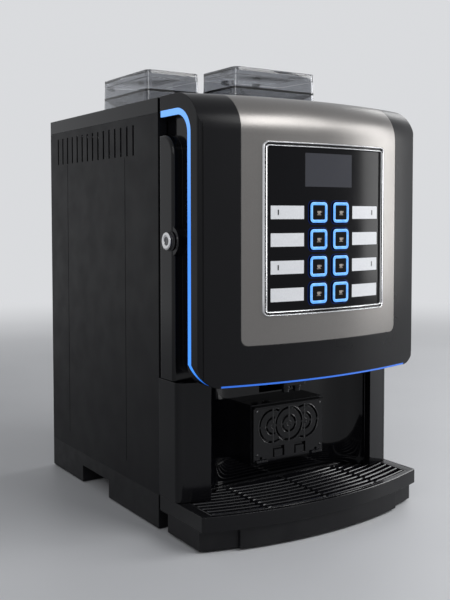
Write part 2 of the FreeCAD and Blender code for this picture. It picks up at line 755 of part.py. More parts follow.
low_arm = post_high - hinge_arm
high_arm = rim_box_top + 1
piece(
    "hinge_brackets",
    group(
        hinge_bracket(low_arm, (low_arm, low_arm + leg_length), low_arm + hinge_arm - 1),
        hinge_bracket(high_arm, (high_arm + hinge_arm - leg_length, high_arm + hinge_arm),
                      high_arm - pin_length),
    ),
)

# Door envelope: the bowed front and the roll, turned about the bow's axis
bow_centre = door_apex + door_bow
door_back = cell("door_back", -100, "Y behind the door, where its turned profiles end")


def door_profile(offset, bottom, back):
    """Side profile of the door at an offset inside its front and top, as (Y, Z) corners."""
    front = door_apex + offset
    crown = body_top - offset
    roll_start = body_top - door_roll
    return [
        (front, roll_start),
        (door_apex + door_roll, crown, offset - door_roll),
        (back, crown),
        (back, bottom),
        (front, bottom),
    ]


def stepped_profile(offset, bottom, back):
    """The same profile with the roll in three straight steps, for faces that stay hidden."""
    radius = door_roll - offset
    centre_y = door_apex + door_roll
    centre_z = body_top - door_roll
    roll = [
        (centre_y - radius * math.cos(math.radians(angle)),
         centre_z + radius * math.sin(math.radians(angle)))
        for angle in (0, 30, 60, 90)
    ]
    return roll + [(back, body_top - offset), (back, bottom), (door_apex + offset, bottom)]


turn_angle = cell("turn_angle", 40, "angle that the door's profiles are turned through")


def turned(outline):
    """A side profile turned about the vertical axis of the door's bow."""
    solid = doc.addObject("Part::Revolution", "Turned")
    solid.Source = draw("YZ", 0, outline)
    solid.Axis = Vector(0, 0, 1)
    bind(solid, "Base.y", bow_centre)
    bind(solid, "Angle", turn_angle)
    solid.Symmetric = True
    solid.Solid = True
    return solid


def front_outline(inset, low, corner, high):
    """Front view of the door: square at the top, round at the lower corners."""
    half = side - inset
    return [
        (half - corner, low),
        (half, low + corner, corner),
        (half, high),
        (-half, high),
        (-half, low + corner),
        (corner - half, low, corner),
    ]


front_edge = cell("front_edge", 6, "radius of the door's front vertical edges")
edge_y = bow_y(door_apex, door_bow, side)
door_plan = [
    (side - front_edge, FRONT_REACH),
    (side - front_edge, edge_y),
    (side, edge_y + front_edge, front_edge),
    (side, hinge_y),
    (hinge_x, door_rear, door_edge),
    (-hinge_x, door_rear),
    (-side, hinge_y, door_edge),
    (-side, edge_y + front_edge),
    (front_edge - side, edge_y, front_edge),
    (front_edge - side, FRONT_REACH),
]


def within_door(solid, inset, low, corner):
    """A solid trimmed to the door's front view and plan."""
    return common(
        solid,
        prism("XZ", FRONT_REACH, 0, front_outline(inset, low, corner, body_top + 20)),
        prism("XY", door_bottom - 20, body_top + 20, door_plan),
    )


def bow_block(depth, low, high):
    """The space behind the door's bowed front at a depth, between two heights below the roll."""
    return prism("XY", low, high, bowed_plate(side + 5, door_apex + depth, door_bow - depth, door_back))


def bow_wall(depth, deeper, low, high):
    """A layer of the door's bowed front between two depths and two heights."""
    return cut(bow_block(depth, low, high), bow_block(deeper, low - 5, high + 5))


# Light strip: down both sides of the door, across its lower corners and along its lower edge
corner_level = door_bottom + door_corner
side_front_y = bow_y(door_apex, door_bow, side) + strip_inset
corner_front_y = bow_y(door_apex, door_bow, side - door_corner)


def strip_ring(recess):
    """The door's front view as a ring from a recess below its edge to the strip's inner face."""
    inner = strip_recess + strip_thickness
    return cut(
        prism("XZ", FRONT_REACH, 0, front_outline(recess, door_bottom + recess, door_corner - recess,
                                                 body_top + 30)),
        prism("XZ", FRONT_REACH - 10, 10, front_outline(inner, door_bottom + inner,
                                                       door_corner - inner, body_top + 40)),
    )


def strip_solid(recess):
    """The strip's sides, lower edge and the oblique stretches round the lower corners."""
    slope = [
        (side_front_y, corner_level),
        (side_front_y + strip_width, corner_level),
        (corner_front_y + strip_width, door_bottom - 1),
        (corner_front_y, door_bottom - 1),
    ]
    sides = common(
        cut(
            turned(door_profile(strip_inset, door_bottom - 30, door_back)),
            turned(door_profile(strip_inset + strip_width, door_bottom - 40, door_back + 10)),
        ),
        box((-side - 5, side + 5), (FRONT_REACH, hinge_y), (corner_level, body_top)),
        strip_ring(recess),
    )
    middle = (door_corner - side, side - door_corner)
    lower_edge = common(
        bow_wall(as_size(0), strip_width, door_bottom - 2, corner_level),
        box(middle, (FRONT_REACH, door_rear), (door_bottom - 2, corner_level)),
        strip_ring(recess),
    )
    corners = common(
        cut(prism("YZ", -side - 5, side + 5, slope),
            box(middle, (FRONT_REACH, 0), (door_bottom - 5, corner_level + 5))),
        strip_ring(recess),
        bow_block(as_size(0), door_bottom - 10, corner_level + 5),
    )
    return fuse(sides, lower_edge, corners)


light_strip = strip_solid(strip_recess)
piece("door_light_strip", light_strip)

# Silver fascia: an inlay from the top seam over the roll to above the lower edge
fascia_top = body_top + 30


def fascia_region(margin, depth):
    """The fascia's space, grown by a margin and cut to a depth below the door's surface."""
    half = fascia_half + margin
    low = fascia_bottom - margin
    return common(
        cut(
            turned(door_profile(as_size(0), door_bottom - 20, door_back)),
            turned(stepped_profile(depth, door_bottom - 30, door_back + 10)),
        ),
        prism("XZ", FRONT_REACH, door_rear, front_outline(side - half, low, fascia_corner, fascia_top)),
    )


aperture_half = bezel_half - bezel_band + 1
aperture_low = bezel_low + bezel_band - 1
aperture_high = bezel_high - bezel_band + 1
aperture = prism(
    "XZ", FRONT_REACH, DOOR_MIDDLE,
    rectangle(-aperture_half, aperture_half, aperture_low, aperture_high),
)
piece("silver_fascia", cut(fascia_region(as_size(0), fascia_sheet), aperture))

# Door shell: a bowed skin, with a deep rim down both sides and a flange along the bottom
inner_corner = door_corner - 6
shell_rim = rim_width
shell_outer = within_door(
    turned(door_profile(as_size(0), door_bottom - 10, door_back)), as_size(0), door_bottom,
    door_corner,
)
shell_hollow = common(
    turned(stepped_profile(door_skin, door_bottom - 20, door_back + 5)),
    prism("XZ", FRONT_REACH, 0,
          front_outline(shell_rim, door_bottom + 6.5, inner_corner, body_top + 20)),
)
shell_rear = turned(door_profile(rim_depth, door_bottom - 20, door_back + 5))
piece(
    "door_shell",
    cut(
        shell_outer,
        shell_hollow,
        shell_rear,
        strip_solid(as_size(-1)),
        fascia_region(as_size(0.25), fascia_sheet + 0.1),
        aperture,
    ),
)

# Inner shell: the door's rear tub, with a rim box down both sides and the boss round the lock
core_gap = cell("core_gap", 0.2, "clearance between the door's two shells")
core_half = side - core_inset
core_low = door_bottom + 8
rim_box_low = door_bottom + slide_gap
rim_block = prism("YZ", -side, side, [
    (door_rear, rim_box_top),
    (door_rear, rim_box_low),
    (rim_box_front, rim_box_low),
    (rim_box_front, rim_box_top - rim_box_corner),
    (rim_box_front + rim_box_corner, rim_box_top, -rim_box_corner),
])
doc.recompute()


def rim_edges(item):
    """Numbers of the edges round the front and top of the rim box's two outer faces."""
    found = []
    for number, edge in enumerate(item.Shape.Edges, 1):
        ends = [vertex.Point for vertex in edge.Vertexes]
        middle = edge.valueAt((edge.FirstParameter + edge.LastParameter) / 2)
        at_side = min(abs(point.x) for point in ends) > side.value - 0.1
        exposed = middle.y < door_rear.value - 1 and middle.z > rim_box_low.value + 1
        if at_side and exposed:
            found.append((number, rim_round.value, rim_round.value))
    return found


rim_round = cell("rim_round", 5, "radius of the inner shell's outer edges")
rim_box = doc.addObject("Part::Fillet", "Rounded")
rim_box.Base = rim_block
rim_box.Edges = rim_edges(rim_block)
core_bow_drop = bow_y(0, door_bow, core_half)
core_skin = door_skin + core_gap
roll_level = body_top - door_roll


def core_space(depth, half, low, corner):
    """The inner shell's tub at a depth below the door's surface: a bowed front under a rolled hood."""
    bow = prism("XY", door_bottom, body_top + 20, bowed_plate(half, door_apex + depth,
                                                              door_bow - depth, door_back))
    hood_front = door_apex + core_bow_drop + depth + 1
    radius = door_roll - depth - 1
    roll = [
        (hood_front + radius * (1 - math.cos(math.radians(angle))),
         roll_level + radius * math.sin(math.radians(angle)))
        for angle in (0, 30, 60, 90)
    ]
    hood = prism("YZ", -side, side, [
        *roll,
        (door_back, body_top - depth - 1),
        (door_back, low),
        (door_apex - 10, low),
        (door_apex - 10, roll_level),
    ])
    return common(bow, hood, prism("XZ", FRONT_REACH, 0, front_outline(side - half, low, corner,
                                                                body_top + 20)))


core = core_space(core_skin, core_half, core_low, inner_corner - 2)
tub = common(
    fuse(rim_box, core, rod("x", (1 - side, lock_y, lock_z), lock_boss, core_inset + 2)),
    prism("XY", door_bottom - 20, body_top + 20, door_plan),
)
tub_hollow = common(
    core_space(core_skin + wall, core_half - wall, core_low + wall, inner_corner - 2 - wall),
    box((-side, side), (FRONT_REACH, door_rear - wall), (door_bottom, body_top)),
)
tub_mouth = box((wall - core_half, core_half - wall), (FRONT_REACH, DOOR_MIDDLE),
                (core_low + inner_corner, roll_level))
cam_slot = box((wall - core_half + 0.5, wall - core_half + 12), (door_rear - 2 * wall, door_rear + 5),
               (lock_z - 36, lock_z + 8))
pin_hole = pin_radius + pin_play
pin_holes = [
    rod("z", (hinge_x, hinge_y, rim_box_low - 5), pin_hole, pin_length + 5),
    rod("z", (hinge_x, hinge_y, rim_box_top - pin_length), pin_hole, pin_length + 5),
]
barrel_hole = rod("x", (-side - 5, lock_y, lock_z), lock_barrel + pin_play, core_inset + 20)
piece(
    "door_inner_shell",
    cut(tub, tub_hollow, tub_mouth, cam_slot, *pin_holes, barrel_hole),
)

# Chrome bezel round the control panel: a high and a low ridge with a groove between them
def frame_ring(outer, inner, proud):
    """A ring on the door's front between two insets from the bezel's outline."""
    return common(
        bow_wall(-proud, as_size(0), bezel_low - 5, bezel_high + 5),
        prism("XZ", FRONT_REACH, DOOR_MIDDLE,
              softened(outer - bezel_half, bezel_half - outer, bezel_low + outer, bezel_high - outer,
                       bezel_corner - outer),
              softened(inner - bezel_half, bezel_half - inner, bezel_low + inner, bezel_high - inner,
                       bezel_corner - inner)),
    )


outer_ridge = cell("outer_ridge", 3.4, "width of the bezel's outer ridge")
inner_ridge = cell("inner_ridge", 2.6, "width of the bezel's inner ridge")
piece(
    "panel_bezel",
    fuse(
        frame_ring(as_size(0), outer_ridge, bezel_proud),
        frame_ring(outer_ridge - 0.1, bezel_band - inner_ridge + 0.1, bezel_proud - 2),
        frame_ring(bezel_band - inner_ridge, bezel_band, bezel_proud - 0.7),
    ),
)

# Control panel: bowed black glass with a flange behind the door's skin
glass_half = bezel_half - bezel_band - seat_gap
glass_low = bezel_low + bezel_band + seat_gap
glass_high = bezel_high - bezel_band - seat_gap
flange_depth = door_skin + 0.1
flange_sheet = cell("flange_sheet", 2, "thickness of the panel's flange")
board_y = cell("board_y", -256.5, "Y of the key board's front")
board_sheet = cell("board_sheet", 1.6, "thickness of the key board")


def bow_layer(depth, deeper):
    """A layer of the door's front between two depths below its surface, behind the bezel."""
    return bow_wall(as_size(depth), as_size(deeper), bezel_low - 10, bezel_high + 10)


key_flange = cell("key_flange", 1.4, "width of a key's retaining flange")
flange_thickness = cell("flange_thickness", 1.2, "thickness of a key's retaining flange")
key_columns = (-key_column, key_column)
key_rows = [key_low + key_pitch * row for row in range(4)]
label_places = [(x, z) for z in key_rows for x in (-label_centre, label_centre)]


def key_outline(x, z, margin):
    """A key's front view, grown by a margin."""
    half_width = key_width / 2 + margin
    half_height = key_height / 2 + margin
    return softened(x - half_width, x + half_width, z - half_height, z + half_height,
                    key_corner + margin)


def key_flange_outline(x, z):
    half_width = key_width / 2 + key_flange
    half_height = key_height / 2 + key_flange
    return rectangle(x - half_width, x + half_width, z - half_height, z + half_height)


def label_outline(x, z, margin):
    half_width = label_width / 2 + margin
    half_height = label_height / 2 + margin
    return rectangle(x - half_width, x + half_width, z - half_height, z + half_height)


key_places = [(x, z) for z in reversed(key_rows) for x in key_columns]
key_windows = [prism("XZ", FRONT_REACH, DOOR_MIDDLE, key_outline(x, z, key_gap)) for x, z in key_places]
glass = common(
    bow_layer(0.6, glass_sheet + 0.6),
    prism("XZ", FRONT_REACH, DOOR_MIDDLE,
          softened(-glass_half, glass_half, glass_low, glass_high, as_size(1))),
)
flange = common(
    bow_layer(flange_depth, flange_depth + flange_sheet),
    prism("XZ", FRONT_REACH, DOOR_MIDDLE,
          rectangle(-aperture_half - 5, aperture_half + 5, aperture_low - 5, aperture_high + 5),
          rectangle(8 - glass_half, glass_half - 8, glass_low + 4, glass_high - 4)),
)
boss_places = [(x, z) for x in (14 - glass_half, glass_half - 14) for z in (glass_low + 16, glass_high - 16)]
bosses = [
    common(
        drum("y", (x, door_apex, z), 4, board_y - door_apex, 6),
        bow_block(as_size(3), door_bottom, roll_level),
    )
    for x, z in boss_places
]
inlay_depth = cell("inlay_depth", 0.8, "depth of the display and labels in the panel")
screen_recess = common(
    bow_layer(-5, inlay_depth + 0.7),
    prism("XZ", FRONT_REACH, DOOR_MIDDLE, rectangle(-screen_half - 0.1, screen_half + 0.1,
                                      screen_low - 0.1, screen_high + 0.1)),
)
label_recesses = common(
    bow_layer(-5, inlay_depth + 0.7),
    prism("XZ", FRONT_REACH, DOOR_MIDDLE, *[label_outline(x, z, 0.1) for x, z in label_places]),
)
piece(
    "control_panel",
    cut(fuse(glass, flange, *bosses), *key_windows, screen_recess, label_recesses),
)
piece(
    "display_screen",
    common(
        bow_layer(0.6, inlay_depth + 0.6),
        prism("XZ", FRONT_REACH, DOOR_MIDDLE, rectangle(-screen_half, screen_half, screen_low, screen_high)),
    ),
)
piece(
    "label_strips",
    common(
        bow_layer(0.6, inlay_depth + 0.6),
        prism("XZ", FRONT_REACH, DOOR_MIDDLE, *[label_outline(x, z, 0) for x, z in label_places]),
    ),
)

# Keys: a bowed cap with a retaining flange behind the panel
flange_front = glass_sheet + 0.6 + seat_gap


def key(number, x, z):
    cap = common(
        bow_layer(0.6 - key_proud, flange_front + 0.1),
        prism("XZ", FRONT_REACH, DOOR_MIDDLE, key_outline(x, z, 0)),
    )
    skirt = common(
        bow_layer(flange_front, flange_front + flange_thickness),
        prism("XZ", FRONT_REACH, DOOR_MIDDLE, key_flange_outline(x, z)),
    )
    piece(f"key_{number}", fuse(cap, skirt))


for number, (x, z) in enumerate(key_places, 1):
    key(number, x, z)

# Key board: a circuit board on the panel's bosses, with a switch behind each key
switch_rear = key_travel + flange_front + flange_thickness + seat_gap
switches = [
    common(
        box((x - 5, x + 5), (door_apex, board_y), (z - 5, z + 5)),
        bow_block(switch_rear, door_bottom, roll_level),
    )
    for x, z in key_places
]
board = box((-glass_half + 4, glass_half - 4), (board_y, board_y + board_sheet),
            (glass_low + 6, glass_high - 6))
connector = box((-20, 20), (board_y + board_sheet, board_y + 12), (530, 545))
piece("key_board", fuse(board, connector, *switches))

# Lock: a barrel with a chrome head, and a cam whose finger passes behind the keeper
head_proud = cell("head_proud", 6.5, "height of the lock's head above the side")
cam_radius = cell("cam_radius", 44.5, "reach of the cam")
cam_sheet = cell("cam_sheet", 3, "thickness of the cam")
cam_x = wall - core_half + 4
barrel_end = cam_x + cam_sheet + 2
lock_solid = fuse(
    cut(
        rod("x", (-side - head_proud, lock_y, lock_z), lock_head, head_proud),
        rod("x", (-side - head_proud - 1, lock_y, lock_z), 6.5, 1.8),
    ),
    drum("x", (-side - 1, lock_y, lock_z), lock_barrel, barrel_end + side + 1, 16),
    box((cam_x, cam_x + cam_sheet), (lock_y - 5, lock_y + 5), (lock_z - cam_radius, lock_z)),
    box((cam_x - 3.5, cam_x + cam_sheet), (lock_y - 2.5, lock_y + 2.5),
        (lock_z - cam_radius, lock_z - cam_radius + 4)),
)
key_slot = box((-side - head_proud - 2, -side - head_proud + 3.5), (lock_y - 0.8, lock_y + 0.8),
               (lock_z - 3.6, lock_z + 3.6))
piece("lock_barrel", cut(lock_solid, key_slot))
keeper_x = cam_x - 1
piece(
    "latch_keeper",
    box((-chassis_half, keeper_x), (cabinet_front + sheet_metal, cabinet_front + sheet_metal + 2.6),
        (lock_z - 7, lock_z + 14)),
)

# Drip tray: a bowed pan with a ledge for the grille
tray_rim = cell("tray_rim", 15, "width of the drip tray's side rims")
front_rim = cell("front_rim", 7, "width of the drip tray's front rim")
grille_rear = cell("grille_rear", -147, "Y of the grille's rear edge")
grille_gap = cell("grille_gap", 0.4, "clearance round the grille")
tray_round = cell("tray_round", 5, "radius of the drip tray's front corners")
tray_corner_y = bow_y(tray_apex, tray_bow, side - tray_round)
tray_plan = [
    (side - tray_round, tray_corner_y, tray_bow),
    (side, tray_corner_y + tray_round, tray_round),
    (side, tray_rear),
    (-side, tray_rear),
    (-side, tray_corner_y + tray_round),
    (tray_round - side, tray_corner_y, tray_round),
]
grille_half = side - tray_rim
grille_apex = tray_apex + front_rim
grille_bow = tray_bow - front_rim
ledge = cell("ledge", 4, "width of the ledge under the grille")
piece(
    "drip_tray",
    cut(
        prism("XY", tray_low, tray_top, tray_plan),
        prism("XY", tray_top - grille_sheet - 0.2, tray_top + 5,
              bowed_plate(grille_half, grille_apex, grille_bow, grille_rear)),
        prism("XY", tray_low + thin_wall, tray_top,
              bowed_plate(grille_half - ledge, grille_apex + ledge, grille_bow - ledge,
                          grille_rear - ledge)),
    ),
)

# Grille: slats that follow the tray's bow, cut as rows of slots between two ribs and a frame
plate_half = grille_half - grille_gap
plate_apex = grille_apex + grille_gap
plate_bow = grille_bow - grille_gap
frame_band = cell("frame_band", 5, "width of the grille's frame")
rib_x = cell("rib_x", 65, "distance of the grille's ribs from the middle")
rib_width = cell("rib_width", 4, "width of the grille's ribs")
slot_half = plate_half - frame_band
GRILLE_STEPS = 9


def bent_wall(apex, radius, thickness, half):
    """Plan of a band that follows a bow in straight steps between the two sides."""
    stations = [half * (2 * step / GRILLE_STEPS - 1) for step in range(GRILLE_STEPS + 1)]
    front = [(x, bow_y(apex, radius, x)) for x in stations]
    rear = [(x, bow_y(apex, radius, x) + thickness) for x in reversed(stations)]
    return front + rear


slot_rear = grille_rear - grille_gap - frame_band
slot_rows = int((slot_rear.value - plate_apex.value + 26) / grille_pitch.value)
bands = []
for row in range(slot_rows):
    apex = plate_apex + frame_band + grille_pitch * row
    bands.append(
        prism("XY", tray_top - grille_sheet - 5, tray_top + 5,
              bent_wall(apex, plate_bow, grille_slot, slot_half))
    )
fields = [
    box(x, (FRONT_REACH, slot_rear), (tray_top - grille_sheet - 1, tray_top + 1))
    for x in (
        (-slot_half, -rib_x - rib_width / 2),
        (rib_width / 2 - rib_x, rib_x - rib_width / 2),
        (rib_x + rib_width / 2, slot_half),
    )
]
piece(
    "drip_grille",
    cut(
        prism("XY", tray_top - grille_sheet, tray_top,
              bowed_plate(plate_half, plate_apex, plate_bow, grille_rear - grille_gap)),
        common(group(*bands), group(*fields)),
    ),
)

# Waste unit: the concave liner, the grounds bin behind it and the shelf's housing
liner_low = tray_top + slide_gap * 2
liner_high = post_high - ceiling_sheet - 1
liner_front_y = liner_back - liner_curve + root(
    liner_curve * liner_curve - (liner_edge - liner_flat) * (liner_edge - liner_flat)
)
outer_curve = liner_curve + thin_wall
outer_back = liner_back + thin_wall
outer_front_y = liner_back - liner_curve + root(
    outer_curve * outer_curve - (liner_edge - liner_flat) * (liner_edge - liner_flat)
)
notch_low = bin_top + 2
piece(
    "station_liner",
    cut(
        prism("XY", liner_low, liner_high, [
            (-liner_flat, liner_back),
            (-liner_edge, liner_front_y, liner_curve),
            (-liner_edge, outer_front_y),
            (-liner_flat, outer_back, -outer_curve),
            (liner_flat, outer_back),
            (liner_edge, outer_front_y, -outer_curve),
            (liner_edge, liner_front_y),
            (liner_flat, liner_back, liner_curve),
        ]),
        box((-nozzle_bay, nozzle_bay), (liner_back - 5, outer_back + 5), (notch_low, liner_high + 5)),
    ),
)
bin_front = outer_back + 0.1
piece(
    "grounds_bin",
    cut(
        box((-bin_half, bin_half), (bin_front, bin_rear), (bin_floor, bin_top)),
        box((thin_wall - bin_half, bin_half - thin_wall), (bin_front + thin_wall, bin_rear - thin_wall),
            (bin_floor + thin_wall, bin_top + 5)),
    ),
)
pivot_radius = cell("pivot_radius", 2, "radius of the shelf's pivot pins")
knuckle_radius = cell("knuckle_radius", 4, "radius of the shelf's knuckles")
housing_half = shelf_half + 2
housing_front = shelf_front + knuckle_radius + seat_gap
housing_low = shelf_low - 3
pivot_y = shelf_front
pivot_z = shelf_low + 2
ear_x = cell("ear_x", 54, "distance of the shelf's ears from the middle")
ear_width = cell("ear_width", 4, "width of the shelf's ears")
ears = [
    cut(
        fuse(
            box((x - ear_width / 2, x + ear_width / 2), (pivot_y, housing_front + 1),
                (pivot_z - knuckle_radius, pivot_z + knuckle_radius)),
            drum("x", (x - ear_width / 2, pivot_y, pivot_z), knuckle_radius, ear_width, 8),
        ),
        rod("x", (x - ear_width, pivot_y, pivot_z), pivot_radius + pin_play, ear_width * 2),
    )
    for x in (-ear_x, ear_x)
]
piece(
    "shelf_housing",
    fuse(
        cut(
            box((-housing_half, housing_half), (housing_front, liner_back - 0.1),
                (housing_low, shelf_high + 3)),
            box((thin_wall - housing_half, housing_half - thin_wall),
                (housing_front + thin_wall, liner_back + 5),
                (housing_low + thin_wall, shelf_high + 3 - thin_wall)),
        ),
        *ears,
    ),
)

# Cup shelf: a folding plate, pierced by rings and crosses, on two pivot pins
ring_z = cell("ring_z", 144, "height of the ring pattern's middle")
ring_spread = cell("ring_spread", 31, "distance of the outer rings from the middle")
ring_large = cell("ring_large", 24, "inner radius of a large ring")
ring_small = cell("ring_small", 11, "inner radius of a small ring")
ring_slot = cell("ring_slot", 3, "width of a ring's slot")
cross_width = cell("cross_width", 3.2, "width of a cross's bars")


def ring_slots(x, trimmed):
    """Two round slots about one centre, crossed by four bars."""
    rings = [
        cut(
            drum("y", (x, shelf_front - 5, ring_z), radius + ring_slot, 15, sides),
            drum("y", (x, shelf_front - 6, ring_z), radius, 17, sides),
        )
        for radius, sides in ((ring_large, 24), (ring_small, 16))
    ]
    bars = [
        box((x - 30, x + 30), (shelf_front - 7, shelf_front + 12),
            (ring_z - cross_width / 2, ring_z + cross_width / 2)),
        box((x - cross_width / 2, x + cross_width / 2), (shelf_front - 7, shelf_front + 12),
            (ring_z - 30, ring_z + 30)),
    ]
    if trimmed:
        bars.append(drum("y", (0, shelf_front - 7, ring_z), ring_large + ring_slot * 2, 19, 24))
    return [cut(ring, *bars) for ring in rings]


pattern = ring_slots(as_size(0), False) + ring_slots(-ring_spread, True) + ring_slots(ring_spread, True)
clip_windows = [
    box((x - 11, x + 11), (shelf_front - 5, shelf_front + 10), (shelf_low + 6, shelf_low + 22))
    for x in (-20, 22)
]
clips = [
    box((x - 8, x + 8), (shelf_front + 0.6, shelf_front + shelf_sheet),
        (shelf_low + 5, shelf_low + 17))
    for x in (-20, 22)
]
ear_notches = [
    box((x - ear_width / 2 - 0.3, x + ear_width / 2 + 0.3), (shelf_front - 10, shelf_front + 10),
        (shelf_low - 5, shelf_low + 9))
    for x in (-ear_x, ear_x)
]
knuckles = [
    drum("x", (x, pivot_y, pivot_z), knuckle_radius, 8, 8)
    for x in (-ear_x - ear_width / 2 - 8.3, ear_width / 2 + 0.3 - ear_x,
              ear_x - ear_width / 2 - 8.3, ear_x + ear_width / 2 + 0.3)
]
pins = [rod("x", (x - 8, pivot_y, pivot_z), pivot_radius, 16) for x in (-ear_x, ear_x)]
shelf_lip = box((-shelf_half, shelf_half), (shelf_front - 3, shelf_front), (shelf_high - 2.4, shelf_high))
shelf_plate_solid = prism(
    "XZ", shelf_front, shelf_front + shelf_sheet,
    rounded(-shelf_half, shelf_half, shelf_low + 0.5, shelf_high, 3),
)
piece(
    "cup_shelf",
    fuse(
        cut(fuse(shelf_plate_solid, shelf_lip), *pattern, *clip_windows, *ear_notches),
        *clips, *knuckles, *pins,
    ),
)

# Nozzle head: a block on the chassis lip with two spouts
nozzle_spread = cell("nozzle_spread", 11, "distance of a spout from the middle")
nozzle_block_low = nozzle_tip + 11
spouts = [
    drum("z", (x, nozzle_reach, nozzle_tip + rise), radius, nozzle_block_low - nozzle_tip + 1 - rise)
    for x in (-nozzle_spread, nozzle_spread)
    for rise, radius in ((0, 6), (6, 7.5))
]
spout_bores = [
    drum("z", (x, nozzle_reach, nozzle_tip - 5), 3.8, 22, 8) for x in (-nozzle_spread, nozzle_spread)
]
piece(
    "nozzle_head",
    cut(
        fuse(
            prism("XY", nozzle_block_low, post_high - 0.5,
                  softened(as_size(-22), as_size(22), nozzle_reach - 12, lip_front - 0.1, as_size(5))),
            *spouts,
        ),
        *spout_bores,
    ),
)

# Hoppers: drafted skirts with a funnel inside, and lids hinged behind
funnel_top = cell("funnel_top", 688, "height where a hopper's funnel starts")
throat_low = cell("throat_low", 616, "height of a hopper's throat")
lid_pin = cell("lid_pin", 1.8, "radius of a lid's hinge pin")
lug_reach = cell("lug_reach", 4.5, "distance of a lid's hinge axis behind the hopper")
lug_radius = cell("lug_radius", 3.6, "radius of a lid's hinge lugs")
lug_width = cell("lug_width", 6, "width of a lid's hinge lugs")
lug_spread = cell("lug_spread", 30, "distance of a hinge lug from the hopper's middle")
hopper_base = body_top + seat_gap


def drafted(x, y, low, high, low_half, high_half):
    """A block about a vertical axis whose half sizes grow from (x, y) below to (x, y) above."""
    wedge = doc.addObject("Part::Wedge", "Drafted")
    wedge.Placement = FreeCAD.Placement(Vector(), Rotation(Vector(1, 0, 0), 90))
    place(wedge, x, y, low)
    bind(wedge, "Ymin", as_size(0))
    bind(wedge, "Ymax", as_size(high) - low)
    for prop, size in (("Xmin", -low_half[0]), ("Xmax", low_half[0]), ("Zmin", -low_half[1]),
                       ("Zmax", low_half[1]), ("X2min", -high_half[0]), ("X2max", high_half[0]),
                       ("Z2min", -high_half[1]), ("Z2max", high_half[1])):
        bind(wedge, prop, size)
    return wedge


def treat_uprights(item, kind, size):
    """The item with its four upright edges rounded ("Fillet") or bevelled ("Chamfer")."""
    doc.recompute()
    found = []
    for number, edge in enumerate(item.Shape.Edges, 1):
        ends = [vertex.Point.z for vertex in edge.Vertexes]
        if abs(ends[0] - ends[-1]) > 1:
            found.append((number, size.value, size.value))
    treated = doc.addObject(f"Part::{kind}", "Treated")
    treated.Base = item
    treated.Edges = found
    return treated


def hopper_half(along_x, inset):
    """Half sizes of a hopper's plan at an inset inside its largest size."""
    long_half = hopper_long / 2 - inset
    short_half = hopper_short / 2 - inset
    return (long_half, short_half) if along_x else (short_half, long_half)


def hopper_skirt(x, y, along_x, inset, kind, corner):
    return treat_uprights(
        drafted(x, y, hopper_base, hopper_rim, hopper_half(along_x, hopper_draft + inset),
                hopper_half(along_x, inset)),
        kind, corner,
    )


def hopper(name, x, y, along_x):
    outer = hopper_skirt(x, y, along_x, as_size(0), "Fillet", hopper_corner)
    inner = hopper_skirt(x, y, along_x, hopper_wall, "Chamfer", hopper_corner * 0.6)
    inner_throat = throat_outer - hopper_wall
    funnel = cut(
        drafted(x, y, hopper_base, funnel_top, (throat_outer, throat_outer),
                hopper_half(along_x, hopper_wall / 2)),
        drafted(x, y, hopper_base, funnel_top, (inner_throat, inner_throat),
                hopper_half(along_x, hopper_wall * 2.5)),
    )
    throat = cut(
        drum("z", (x, y, throat_low), throat_outer, hopper_base - throat_low + 2, 16),
        drum("z", (x, y, throat_low - 5), throat_radius, hopper_base - throat_low + 20, 16),
    )
    rear = y + hopper_half(along_x, as_size(0))[1]
    lugs = [hinge_lug(x + offset, rear) for offset in (-lug_spread, lug_spread)]
    return piece(name, fuse(cut(outer, inner), common(funnel, outer), throat, *lugs))


def hinge_lug(x, rear):
    """A lug behind a hopper's rim, with the bore for the lid's pin."""
    axis = rear + lug_reach
    low = x - lug_width / 2
    return cut(
        fuse(
            box((low, low + lug_width), (rear - hopper_wall, axis),
                (hopper_rim - lug_radius * 1.5, hopper_rim)),
            drum("x", (low, axis, hopper_rim), lug_radius, lug_width, 8),
        ),
        rod("x", (low - 1, axis, hopper_rim), lid_pin + pin_play, lug_width + 2),
    )


lid_recess = cell("lid_recess", 3, "depth of the recess in a lid")
lid_rim = cell("lid_rim", 5, "width of the rim round that recess")


def lid_knuckle(x, rear, turn):
    """A knuckle on the outer side of a lug, with the pin that enters it."""
    axis = rear + lug_reach
    low = x + turn * (lug_width + 0.4) - lug_width / 2
    pin_start = low - lug_width - 0.2 if turn > 0 else low + 0.2
    return [
        drum("x", (low, axis, hopper_rim), lug_radius, lug_width, 8),
        box((low, low + lug_width), (rear - lid_rim, axis),
            (hopper_rim + seat_gap, hopper_rim + lug_radius)),
        rod("x", (pin_start, axis, hopper_rim), lid_pin, lug_width * 2),
    ]


def hopper_lid(name, x, y, along_x):
    base = hopper_rim + seat_gap
    half = hopper_half(along_x, as_size(0))
    rim = hopper_half(along_x, lid_rim)
    hollow = hopper_half(along_x, hopper_wall + 2)
    floor = lid_top - lid_recess
    plate = cut(
        prism("XY", base, lid_top,
              rounded(x - half[0], x + half[0], y - half[1], y + half[1], hopper_corner)),
        prism("XY", floor, lid_top + 5,
              softened(x - rim[0], x + rim[0], y - rim[1], y + rim[1], hopper_corner - lid_rim)),
        box((x - hollow[0], x + hollow[0]), (y - hollow[1], y + hollow[1]),
            (base - 1, floor - hopper_wall)),
    )
    rear = y + half[1]
    knuckles = lid_knuckle(x - lug_spread, rear, -1) + lid_knuckle(x + lug_spread, rear, 1)
    return piece(name, fuse(plate, *knuckles))


hopper("hopper_front", front_hopper_x, front_hopper_y, True)
hopper("hopper_rear", rear_hopper_x, rear_hopper_y, False)
hopper_lid("hopper_lid_front", front_hopper_x, front_hopper_y, True)
hopper_lid("hopper_lid_rear", rear_hopper_x, rear_hopper_y, False)

